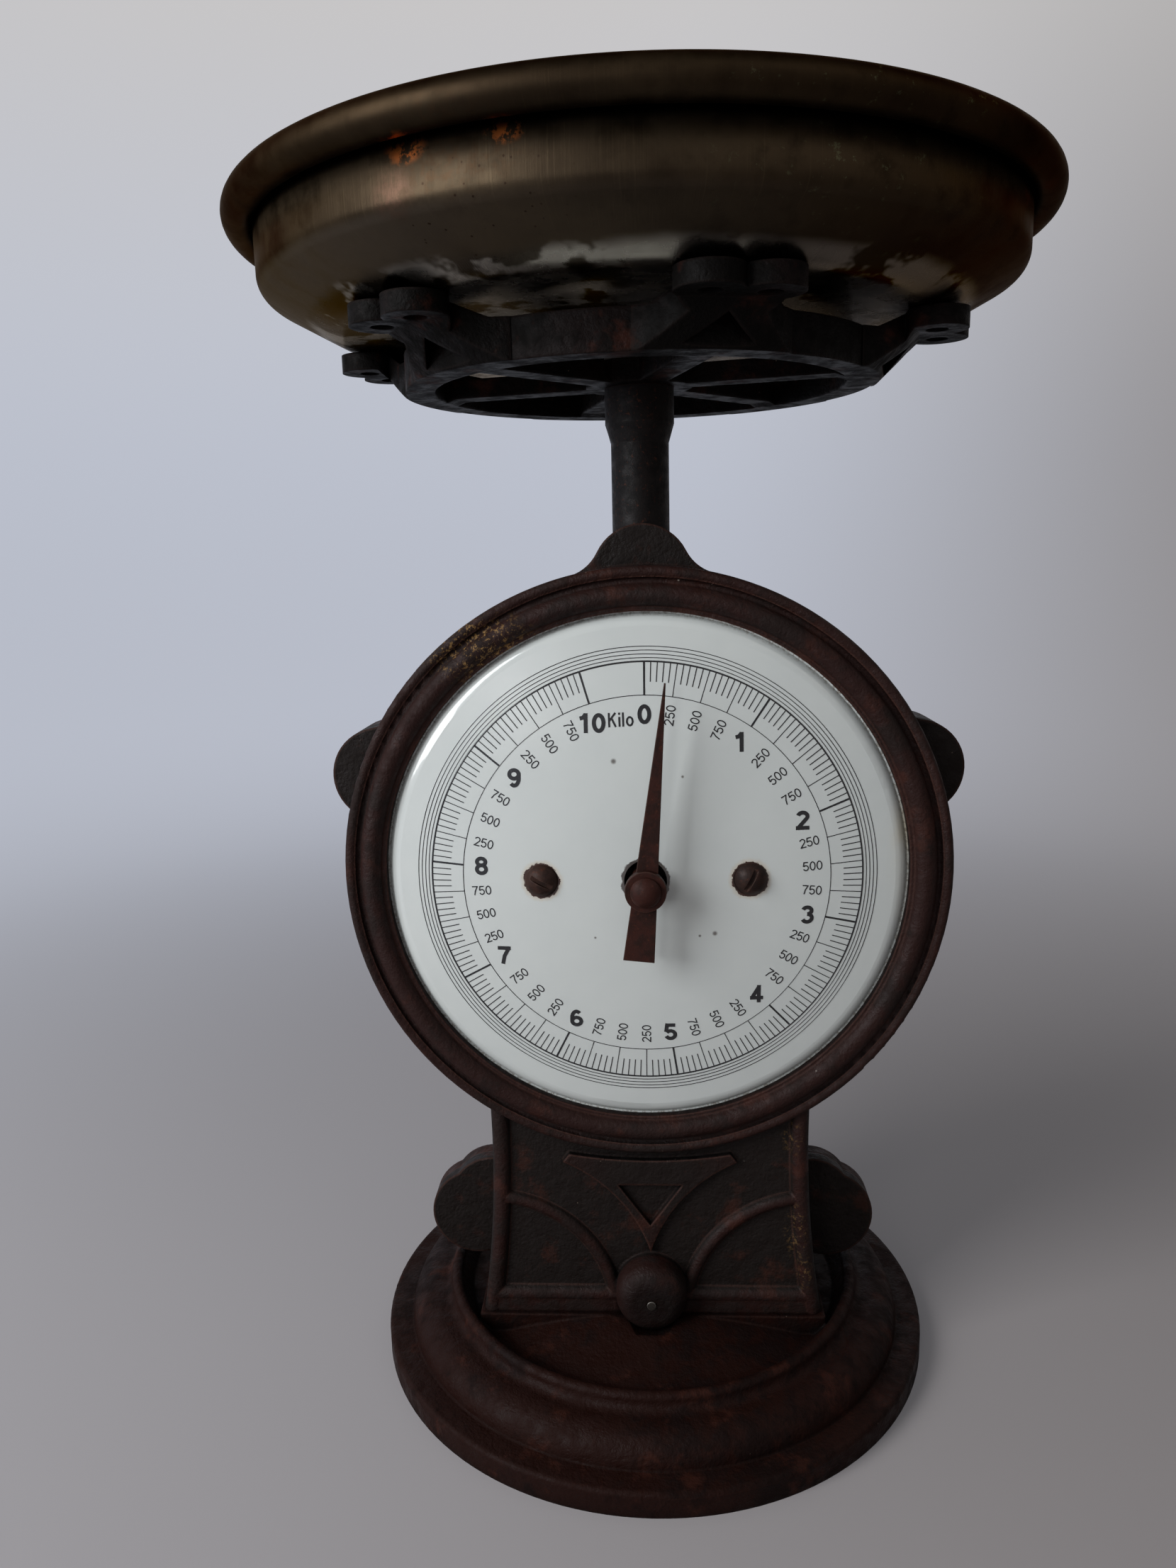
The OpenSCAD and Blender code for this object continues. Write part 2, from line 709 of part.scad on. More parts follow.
module rear_cover() color(iron) difference() {
    union() {
        about_dial() difference() {
            intersection() {
                cup_profile(ring_r, rear_depth, back_round);
                translate([0, -rear_depth]) square([ring_r, rear_depth]);
            }
            translate([0, 0.001]) cup_profile(shell_in_r, rear_depth - neck_wall, back_round - 4);
        }
        difference() {
            intersection() {
                upright(0, -neck_back) neck_outline();
                translate([0, 0, seat_h]) linear_extrude(neck_top - seat_h) neck_plan(0);
            }
            intersection() {
                upright(1, neck_wall - neck_back) neck_outline(neck_wall, seat_h - 1);
                translate([0, 0, seat_h - 1]) linear_extrude(neck_top - seat_h) neck_plan(neck_wall);
            }
            upright(1, -rear_depth) translate([0, dial_z]) circle(r = ring_r - back_round - 1);
            upright(1, neck_wall - neck_back) translate([0, dial_z]) circle(r = ring_r - 1);
        }
        for (angle = side_ears) upright(0, -rear_ear_t) ear_outline(angle);
        upright(0, -rear_ear_t) ear_outline(90);
        difference() {
            upright(0, -lobe_t) lobe_outline();
            upright(1, -lobe_t - 1) neck_outline(neck_wall);
        }
        bush_walls(0, 8 - rear_depth);
    }
    shared_bores();
    y_bar(2 * lug_r + 2 * play, 1, -lug_r, 0, boss_z);
    for (side = [-1, 1]) y_bar(screw_d + 2 * seat_gap, 1, -lobe_t - 1, side * lobe_x, lobe_z);
    for (angle = side_ears) y_bar(screw_d + 2 * seat_gap, 1, -rear_ear_t - 1, screw_reach * cos(angle),
        dial_z + screw_reach * sin(angle));
}

module cover_screw(x, z, ear, reach) translate([x, ear, z]) rotate([-90, 0, 0]) {
    slotted_head(cover_head_d, cover_head_h);
    translate([0, 0, -ear - reach]) cylinder(d = screw_d, h = ear + reach + 1);
}

module cover_screws() color(steel) {
    for (side = [-1, 1]) cover_screw(side * lobe_x, lobe_z, lobe_t, lobe_t - 1.8);
    for (angle = side_ears)
        cover_screw(screw_reach * cos(angle), dial_z + screw_reach * sin(angle), rear_ear_t, ear_t - 4.3);
}

module boss_pin() color(steel) y_bar(boss_pin_d, boss_face + 0.5, 1 - lug_r, 0, boss_z);

module buffer_post() color(steel) difference() {
    translate([0, 0, post_foot]) cylinder(d = post_d, h = buffer_top - buffer_h - post_foot);
    y_bar(boss_pin_d + 2 * seat_gap, post_d, -post_d, 0, boss_z);
}

module buffer_pad() color(rubber)
    translate([0, 0, buffer_top - buffer_h]) cylinder(d = tail_d + 2, h = buffer_h);

// Bushes and hanger
module bush(outer_r, bore_r) color(old_brass) difference() {
    cylinder(r = outer_r, h = bush_h);
    translate([0, 0, -1]) cylinder(r = bore_r, h = bush_h + 2);
}

module top_bush() translate([0, 0, top_bush_z]) bush(top_bush_r, shaft_r + running);
module lower_bush() translate([0, 0, low_bush_z]) bush(low_bush_r, tail_d / 2 + running);

// A bar along X with a groove for each spring's loop
module grooved_bar(end) difference() {
    x_bar(bar_d, -end, end);
    for (side = [-1, 1]) translate([side * spring_x - groove_half, 0, 0]) difference() {
        x_bar(bar_d + 2, 0, 2 * groove_half);
        x_bar(groove_d, -1, 2 * groove_half + 1);
    }
}

module hanger_bar() color(steel) translate([0, 0, hanger_z]) difference() {
    union() {
        grooved_bar(hanger_end - 0.3);
        translate([0, 0, -bar_r]) cylinder(r = hanger_eye_r, h = bar_d);
    }
    translate([0, 0, -bar_d]) cylinder(r = shaft_r + 1, h = 2 * bar_d);
}

// Dial: a shallow dome with a rounded edge and a flat rim behind the ring's lip
module dial_solid(depth) {
    intersection() {
        translate([0, dial_face - dome_ball_r]) circle(r = dome_ball_r - depth, $fn = 720);
        square([dome_r, dial_face]);
    }
    intersection() {
        translate([dome_r, dial_rim_face + dial_drop]) rotate(-dome_tilt) translate([0, -roll_ball_r])
            circle(r = roll_ball_r - depth);
        translate([dome_r, 0]) square([dial_roll_w, dial_face]);
    }
    square([dial_r, dial_rim_face - depth]);
}

module dial_plate() color(enamel) difference() {
    about_dial() difference() {
        dial_solid(0);
        translate([-1, -1]) square([dial_r + 2, 1 + dial_rim_face - dial_t]);
        dial_solid(dial_t);
    }
    y_bar(dial_hole_d, dial_face + 1, 0, 0, dial_z);
    for (side = [-1, 1]) {
        y_bar(dial_shank_d + 4 * play, dial_face, 0, side * dial_screw_x, dial_z);
        y_bar(dial_head_d + play, dial_face, dial_screw_seat, side * dial_screw_x, dial_z);
    }
}

module dial_screws() color(rust) for (side = [-1, 1]) {
    translate([side * dial_screw_x, -dial_screw_seat, dial_z]) rotate([90, 0, 0])
        rotate(side > 0 ? 62 : 152) slotted_head(dial_head_d, head_h, 1.4);
    y_bar(dial_shank_d, dial_screw_seat + 0.5, plate_back, side * dial_screw_x, dial_z);
}

module dial_posts() color(old_brass) for (side = [-1, 1]) difference() {
    intersection() {
        y_bar(dial_shank_d + 2 * post_wall, dial_face, plate_face, side * dial_screw_x, dial_z);
        about_dial() dial_solid(dial_t);
    }
    y_bar(dial_shank_d + 2 * seat_gap, dial_face, 0, side * dial_screw_x, dial_z);
}

// Movement: a plate across the housing and a bridge behind it carry the spindle
module movement_plate() color(steel) difference() {
    upright(plate_face, plate_back) translate([0, dial_z]) intersection() {
        square([2 * plate_end_x, plate_h], center = true);
        circle(r = shell_in_r - 1);
    }
    y_bar(bearing_d + 2 * seat_gap, front_depth, 0, 0, dial_z);
    for (side = [-1, 1]) {
        y_bar(plate_screw_d + 2 * seat_gap, front_depth, 0, side * lug_x, dial_z);
        y_bar(dial_shank_d + 2 * seat_gap, front_depth, 0, side * dial_screw_x, dial_z);
        y_bar(bridge_screw_d + 2 * seat_gap, front_depth, 0, side * (bridge_x + 7), dial_z);
    }
}

module plate_screws() color(steel) for (side = [-1, 1]) {
    translate([side * lug_x, -plate_face, dial_z]) rotate([90, 0, 0])
        slotted_head(plate_head_d, plate_head_h);
    y_bar(plate_screw_d, plate_face + 0.5, plate_back - 8.5, side * lug_x, dial_z);
}

module rear_bridge() color(steel) difference() {
    translate([0, 0, dial_z - bridge_h / 2]) linear_extrude(bridge_h) for (side = [-1, 1]) {
        translate([side > 0 ? bridge_x : -bridge_x - bridge_foot, -plate_back])
            square([bridge_foot, plate_t]);
        translate([side > 0 ? bridge_x : -bridge_x - plate_t, -plate_back])
            square([plate_t, plate_back - bridge_back]);
        translate([side > 0 ? 0 : -bridge_x - plate_t, -bridge_face]) square([bridge_x + plate_t, plate_t]);
    }
    y_bar(bearing_d - 1 + 2 * seat_gap, bridge_face + 1, bridge_back - 1, 0, dial_z);
    for (side = [-1, 1]) y_bar(bridge_screw_d + 2 * seat_gap, plate_back + 1, plate_back - plate_t - 1,
        side * (bridge_x + 7), dial_z);
}

module bridge_screws() color(steel) for (side = [-1, 1]) {
    translate([side * (bridge_x + 7), plate_t - plate_back, dial_z]) rotate([-90, 0, 0])
        slotted_head(bridge_head_d, bridge_head_h);
    y_bar(bridge_screw_d, plate_face - 0.2, plate_back - plate_t - 0.5, side * (bridge_x + 7), dial_z);
}

module bearing(d, near, far) color(old_brass) difference() {
    y_bar(d, near, far, 0, dial_z);
    y_bar(spindle_d + 2 * running, near + 1, far - 1, 0, dial_z);
}

module front_bearing() bearing(bearing_d, plate_face + 2.5, plate_back - 0.4);
module rear_bearing() bearing(bearing_d - 1, bridge_face + 0.6, bridge_back);

// Rack and pinion: involute leaves, and a rack with straight flanks
function roll_of(r) = sqrt(pow(r / base_circle_r, 2) - 1) * 180 / PI - acos(base_circle_r / r);
function leaf_half(r) = 90 / pinion_teeth - backlash / 2 / pitch_r * 180 / PI / 2
    + roll_of(pitch_r) - roll_of(max(r, base_circle_r + 0.0001));

function leaf_steps(n) = [for (i = [0:n]) tooth_root_r + (tooth_tip_r - tooth_root_r) * i / n];
function polar(r, turn) = r * [cos(turn), sin(turn)];
function leaf_points(turn, up) = concat([for (r = up) polar(r, turn - leaf_half(r))],
    [for (i = [len(up) - 1:-1:0]) polar(up[i], turn + leaf_half(up[i]))]);

module pinion() color(old_brass) difference() {
    upright(pinion_back + pinion_w, pinion_back) translate([0, dial_z])
        polygon([for (i = [0:pinion_teeth - 1])
            each leaf_points((i + 0.5) * 360 / pinion_teeth, leaf_steps(4))]);
    y_bar(spindle_d, plate_back, 0, 0, dial_z);
}

module rack_tooth() {
    half = rack_pitch / 4 - backlash / 4;
    lean = tan(press_angle);
    foot = half + lean * (rack_root - pitch_r);
    tip = half - lean * (pitch_r - rack_tip);
    polygon([[rack_root + 0.5, foot], [rack_root, foot], [rack_tip, tip], [rack_tip, -tip],
        [rack_root, -foot], [rack_root + 0.5, -foot]]);
}

module rack() color(steel) difference() {
    upright(rack_face, rack_face - rack_w) {
        translate([rack_root, crosshead_foot + 1])
            square([rack_bar, dial_z + travel + 3 * rack_pitch - crosshead_foot]);
        for (i = [-2:ceil(travel / rack_pitch) + 2]) translate([0, dial_z + i * rack_pitch]) rack_tooth();
    }
    y_bar(3 + 2 * seat_gap, rack_face + 1, rack_face - rack_w - 1, rack_lug_x, crosshead_z);
}

module rack_screw() color(steel) {
    translate([rack_lug_x, -rack_face, crosshead_z]) rotate([90, 0, 0]) slotted_head(4.6, 2);
    y_bar(3, rack_face + 0.5, rack_face - rack_w - 5, rack_lug_x, crosshead_z);
}

// Plunger
module shaft() color(rust) rotate_extrude() polygon([[0, tail_end], [tail_d / 2 - 1, tail_end],
    [tail_d / 2, tail_end + 1], [tail_d / 2, crosshead_top], [shaft_r, crosshead_top], [shaft_r, cone_z],
    [collar_d / 2, collar_z], [collar_d / 2, carrier_z], [tail_d / 2, carrier_z], [tail_d / 2, stud_top],
    [0, stud_top]]);

module crosshead() color(steel) difference() {
    union() {
        translate([0, 0, crosshead_foot]) cylinder(r = crosshead_r, h = crosshead_h);
        translate([0, 0, crosshead_z]) grooved_bar(arm_end);
        translate([rack_lug_x - rack_lug_w / 2, rack_w - rack_face, crosshead_foot])
            cube([rack_lug_w, rack_face - rack_w, crosshead_h]);
    }
    translate([0, 0, crosshead_foot - 1]) cylinder(d = tail_d + 2 * seat_gap, h = crosshead_h + 2);
    y_bar(3 + 2 * seat_gap, rack_face, rack_face - rack_w - 5.3, rack_lug_x, crosshead_z);
}

module crosshead_nut() color(steel) translate([0, 0, crosshead_foot - tail_nut_h]) difference() {
    hexagon(19, tail_nut_h);
    translate([0, 0, -1]) cylinder(d = tail_d + 2 * seat_gap, h = tail_nut_h + 2);
}

// Springs
function smooth(u) = u * u * (3 - 2 * u);
function loop_point(turn) = [0, loop_r * sin(turn), loop_low - loop_r * cos(turn)];
function lead_point(u) = let (r = loop_r + (coil_r - loop_r) * smooth(u), turn = 90 + lead_turn * u * u)
    [r * cos(turn), r * sin(turn), loop_low + lead_h * u];
function coil_point(u) = let (turn = 90 + lead_turn + coil_turn * u)
    [coil_r * cos(turn), coil_r * sin(turn), coil_low + (coil_high - coil_low) * u];
function upside(p) = [p[0], -p[1], 2 * spring_mid - p[2]];

loop_steps = 9;
lead_steps = 6;
coil_steps = round(curl_rings * coil_turn / 360);
spring_end = concat([for (i = [0:loop_steps - 1]) loop_point(-130 + 220 * i / loop_steps)],
    [for (i = [0:lead_steps - 1]) lead_point(i / lead_steps)]);
end_count = len(spring_end);
spring_path = concat(spring_end, [for (i = [0:coil_steps]) coil_point(i / coil_steps)],
    [for (i = [end_count - 1:-1:0]) upside(spring_end[i])]);

// A round tube along a path, its rings carried on without twist
function unit(v) = v / norm(v);
function along(path, i) = unit(path[min(i + 1, len(path) - 1)] - path[max(i - 1, 0)]);
module tube(path, r, sides) {
    count = len(path);
    normals = [for (i = 0, n = [1, 0, 0]; i < count; i = i + 1,
        n = i < count ? unit(n - (n * along(path, i)) * along(path, i)) : n) n];
    rings = [for (i = [0:count - 1]) for (s = [0:sides - 1]) path[i]
        + r * cos(360 * s / sides) * normals[i]
        + r * sin(360 * s / sides) * cross(along(path, i), normals[i])];
    walls = [for (i = [0:count - 2]) for (s = [0:sides - 1]) let (a = i * sides + s,
        b = i * sides + (s + 1) % sides) each [[a, b, a + sides], [b, b + sides, a + sides]]];
    caps = [for (s = [1:sides - 2]) each [[0, s + 1, s], [(count - 1) * sides, (count - 1) * sides + s,
        (count - 1) * sides + s + 1]]];
    polyhedron(rings, concat(walls, caps), convexity = 10);
}

// Least gap of a spring to itself, between rings that lie more than half a curl apart
spring_gap = min([for (i = [0:len(spring_path) - 1]) for (j = [i + curl_rings - 2:1:len(spring_path) - 1])
    norm(spring_path[i] - spring_path[j])]) - wire_d;
echo(spring_gap = spring_gap);

module spring_left() color(steel) translate([-spring_x, 0, 0]) tube(spring_path, wire_r, wire_sides);
module spring_right() color(steel) translate([spring_x, 0, 0]) tube(spring_path, wire_r, wire_sides);

// Pan carrier: a plan cut by a turned profile, so that the arms rise to the pads
module carrier_arm() {
    difference() {
        polygon([[carrier_r - 3, -arm_foot_w / 2], [arm_neck_r, -arm_neck_w / 2], [pad_r, -arm_neck_w / 2],
            [pad_r, arm_neck_w / 2], [arm_neck_r, arm_neck_w / 2], [carrier_r - 3, arm_foot_w / 2]]);
        polygon([[carrier_r + 1.5, -10], [web_r, 0], [carrier_r + 1.5, 10]]);
    }
    for (side = [-1, 1]) translate([pad_r, side * pad_hole_gap / 2]) circle(r = pad_lobe_r);
}

module carrier_plan() difference() {
    union() {
        circle(r = hub_r);
        difference() {
            circle(r = carrier_r);
            circle(r = carrier_in_r);
        }
        for (i = [0:arms - 1]) rotate(arm_turn + i * 360 / arms) {
            translate([hub_r - 2, -spoke_w / 2]) square([carrier_in_r - hub_r + 3, spoke_w]);
            carrier_arm();
        }
    }
    circle(d = tail_d + 2 * seat_gap);
    for (i = [0:arms - 1]) rotate(arm_turn + i * 360 / arms) for (side = [-1, 1])
        translate([pad_r, side * pad_hole_gap / 2]) circle(d = pad_hole_d);
}

module pan_carrier() color(iron) intersection() {
    translate([0, 0, ring_foot - 1]) linear_extrude(pad_rise + 2) carrier_plan();
    rotate_extrude() polygon([[0, carrier_z], [carrier_in_r - 3, carrier_z], [carrier_in_r, ring_foot],
        [carrier_r + 1, ring_foot], [pad_r - 5, pad_top - pad_t], [pad_r + 20, pad_top - pad_t],
        [pad_r + 20, pad_top], [arm_neck_r, pad_top], [carrier_r + 3, ring_foot + carrier_ring_h],
        [carrier_in_r - 0.5, ring_foot + carrier_ring_h], [carrier_in_r - 0.5, hub_top - 1],
        [hub_r + 3, hub_top - 1], [hub_r, hub_top], [0, hub_top]]);
}

module carrier_nut() color(steel) translate([0, 0, carrier_z + carrier_hub_h]) difference() {
    hexagon(19, carrier_nut_h);
    translate([0, 0, -1]) cylinder(d = tail_d + 2 * seat_gap, h = carrier_nut_h + 2);
}

// Pointer
module spindle() color(steel) y_bar(spindle_d, spindle_end, bridge_back - 0.2, 0, dial_z);

module pointer_sheet() {
    polygon([[-pointer_w / 2, 0], [-tail_w / 2, -tail_len], [tail_w / 2, -tail_len], [pointer_w / 2, 0],
        [0.25, pointer_len], [-0.25, pointer_len]]);
    circle(d = hub_d - 2);
}

module pointer() color(rust) difference() {
    upright(pointer_front, pointer_back) translate([0, dial_z]) rotate(-pointer_turn) pointer_sheet();
    y_bar(spindle_d, pointer_front + 1, 0, 0, dial_z);
}

module pointer_sleeve() color(rust) difference() {
    y_bar(bearing_d, pointer_back, plate_face + 2.5 + play, 0, dial_z);
    y_bar(spindle_d, pointer_back + 1, plate_face, 0, dial_z);
}

module pointer_hub() color(rust) difference() {
    y_bar(hub_d, pointer_front + hub_t, pointer_front, 0, dial_z);
    y_bar(spindle_d, pointer_front + hub_t + 1, pointer_back, 0, dial_z);
}

module cap_nut() color(rust) difference() {
    about_dial() intersection() {
        union() {
            square([cap_r, cap_z]);
            translate([0, cap_z + cap_rise - cap_ball_r]) circle(r = cap_ball_r);
        }
        translate([0, pointer_front + hub_t]) square([cap_r, 2 * cap_r]);
    }
    y_bar(spindle_d, spindle_end + 0.1, pointer_front, 0, dial_z);
}

// Pan
module pan_solid(inset) {
    reach = sweep_r - inset;
    lean = [(corner_w - corner_r), corner_z - sweep_z] / (sweep_r - corner_r);
    meet = [flat_r, sweep_z] + 2 * sweep_r * lean;
    translate([0, pad_top + inset]) square([flat_r, pan_h]);
    intersection() {
        translate([flat_r, sweep_z]) circle(r = reach, $fn = 240);
        polygon([[flat_r - 0.01, sweep_z], [flat_r - 0.01, sweep_z - 2 * sweep_r], meet]);
    }
    translate([pan_r - corner_r, corner_z]) circle(r = corner_r - inset);
    translate([flat_r - 1, corner_z]) square([corner_w + 1 - inset, pan_top + 30 - corner_z]);
}

module pan() color(old_brass) rotate_extrude($fn = 160) {
    intersection() {
        difference() {
            pan_solid(0);
            pan_solid(pan_t);
        }
        square([pan_r, rim_z + 1]);
    }
    difference() {
        translate([rim_at, rim_z]) circle(r = rim_r, $fn = 48);
        translate([rim_at, rim_z]) circle(r = rim_bore_r, $fn = 48);
        translate([pan_r, rim_z - 2 * rim_r]) square([1.5, 2 * rim_r]);
        translate([0, rim_z - 1.5 * rim_r]) square([pan_r - pan_t, 3 * rim_r]);
    }
}

base();
base_bolts();
front_casting();
rear_cover();
cover_screws();
boss_pin();
buffer_post();
buffer_pad();
top_bush();
lower_bush();
hanger_bar();
dial_plate();
dial_screws();
dial_posts();
movement_plate();
plate_screws();
rear_bridge();
bridge_screws();
front_bearing();
rear_bearing();
spring_left();
spring_right();
shaft();
crosshead();
crosshead_nut();
rack();
rack_screw();
pan_carrier();
carrier_nut();
spindle();
pinion();
pointer();
pointer_sleeve();
pointer_hub();
cap_nut();
pan();
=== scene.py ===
"""An old kitchen spring scale: the finishes of its pieces, the print on its dial, the studio and the camera."""

import json
import math

import bpy
import bmesh
from mathutils import Matrix, Vector
from mathutils.bvhtree import BVHTree


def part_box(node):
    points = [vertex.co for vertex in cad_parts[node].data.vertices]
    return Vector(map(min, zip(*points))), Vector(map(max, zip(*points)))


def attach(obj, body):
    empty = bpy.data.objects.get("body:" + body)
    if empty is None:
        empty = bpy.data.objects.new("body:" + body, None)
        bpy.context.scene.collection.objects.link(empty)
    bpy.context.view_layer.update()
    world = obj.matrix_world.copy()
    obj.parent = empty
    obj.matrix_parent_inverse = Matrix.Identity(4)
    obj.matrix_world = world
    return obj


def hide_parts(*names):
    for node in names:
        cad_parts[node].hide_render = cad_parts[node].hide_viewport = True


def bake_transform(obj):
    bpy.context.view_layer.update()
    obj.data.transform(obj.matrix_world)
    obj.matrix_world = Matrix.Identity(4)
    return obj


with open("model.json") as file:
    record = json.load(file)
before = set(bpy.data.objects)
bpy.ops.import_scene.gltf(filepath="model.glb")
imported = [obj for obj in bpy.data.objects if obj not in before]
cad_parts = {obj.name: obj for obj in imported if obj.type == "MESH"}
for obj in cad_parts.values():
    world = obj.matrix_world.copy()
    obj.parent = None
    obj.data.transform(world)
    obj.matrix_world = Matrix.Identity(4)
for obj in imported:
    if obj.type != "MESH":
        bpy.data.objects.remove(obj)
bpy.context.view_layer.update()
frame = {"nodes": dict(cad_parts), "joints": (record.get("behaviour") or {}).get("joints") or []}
nodes = frame["nodes"]

MM = 0.001
dial_z = next(j["pos_m"][2] for j in frame["joints"] if j["name"] == "pointer_spin")

# The camera that fits the photograph
CAMERA_AT = (0.0011, -0.380, 0.2768)
CAMERA_TURN = (-0.054, -0.197, -0.024)  # yaw, pitch and roll in radians
CAMERA_LENS = 25.91

# The dial's print: radii and widths in millimetres, angles clockwise from the top
DEGREES_PER_KILO = 34.3
STEPS_PER_KILO = 20
KILOS = 10
SCALE_RING_R = 67.5
INNER_RING_R = 57.4
FINE_RINGS_R = (68.6, 69.7, 70.85, 72.0)
SHORT_MARK_R = 61.4
KILO_MARK_W, QUARTER_MARK_W, SMALL_MARK_W = 0.6, 0.26, 0.28
SCALE_RING_W, THIN_RING_W = 0.5, 0.22
PRINT_PROUD, PRINT_SUNK = 0.09, 0.03  # its front and its back, off the enamel's face
PRINT_TURN = 0.35
FIGURE_NUDGES = (0, -0.4, 0.6, 0.4, 0.3, 0, 0, 0.7, 0.3, 0, -1.1)  # degrees, from 0 to 10 kilograms
BOLD_FIGURES_R, SMALL_FIGURES_R, UNIT_R, UNIT_DEGREES = 51.65, 51.75, 50.6, 352.2
# A height, then a letter's width, half a pen stroke and the gap between letters as shares of that height
BOLD_FIGURES = (6.0, 0.695, 0.102, 0.12)
SMALL_FIGURES = (2.95, 0.63, 0.06, 0.09)
UNIT_LETTERS = (4.3, 0.6, 0.068, 0.13)
DIAL_SCREW_X = 32.4

# The pan's sheet and its rolled rim, in millimetres
PAN_SIZES = {"Floor radius": 94.1, "Wall radius": 116, "Corner height": 356.5, "Rim height": 375.05,
             "Rim radius": 119.7, "Roll radius": 4.8, "Sheet": 1.4, "Foot rounding": 15, "Corner rounding": 5}

# Where a finish differs: a place, how far it reaches from there, and its stretch along X, Y and Z, in millimetres
RING_GILT = ((-50, -37, 251), 17, (1.4, 1, 0.8))
BAR_GILT = (((47, -34, 87), 9, (0.5, 1, 1)), ((49, -34, 52), 14, (0.35, 1, 1)), ((52, -34, 37), 9, (0.4, 1, 1)))
BOSS_SOOT = ((0, -46, 31), 18)
RAISED_V = ((0, -34, 72), 42, (1, 1, 0.7))
GOLDEN_PATCH = ((-40, -106, 366), 17, (1.5, 1.5, 0.8))
ORANGE_FLECKS = (((-52, -104, 369), 7, (1, 1, 0.6)), ((-28, -112, 369), 6, (1, 1, 0.6)))
PINK_TARNISH = ((-56, -102, 360), 8)
COPPER_TARNISH = ((104, -50, 366), 11)
GREEN_TARNISH = ((55, -110, 375), 60)
PITTED_BRASS = ((-40, -108, 364), 40)
ENAMEL_STAIN = ((84, -34, 188), 22, (0.45, 1, 1.6))
ENAMEL_PITS = ((-9.3, 216, 0.65), (11.7, 211, 0.35), (21.4, 161.1, 0.6), (16.7, 160.4, 0.35), (-16, 160, 0.3),
               (36, 238, 0.3))  # each pit's x, z and size

# The lamps: where each stands in metres, its two sides in metres, its watts and its tint
LAMPS = {"window": ((-0.78, -0.60, 0.62), (0.5, 0.65), 9.5, (0.96, 0.98, 1.0)),
         "far_window": ((-0.58, -1.75, 0.50), (0.28, 0.36), 2.2, (1.0, 1.0, 1.0)),
         "fill": ((1.1, -0.9, 1.1), (1.0, 1.0), 0.9, (1.0, 0.97, 0.93))}
LAMPS_AIM = (0, 0, 0.22)
ROOM_LEFT, ROOM_RIGHT, ROOM_TINT = 0.32, 0.08, (0.93, 0.95, 1.0, 1.0)


def colour(red, green, blue):
    """A colour as read off a screen, 0 to 255, as the shader wants it."""
    def linear(value):
        value /= 255
        return value / 12.92 if value <= 0.04045 else ((value + 0.055) / 1.055) ** 2.4
    return (linear(red), linear(green), linear(blue), 1.0)


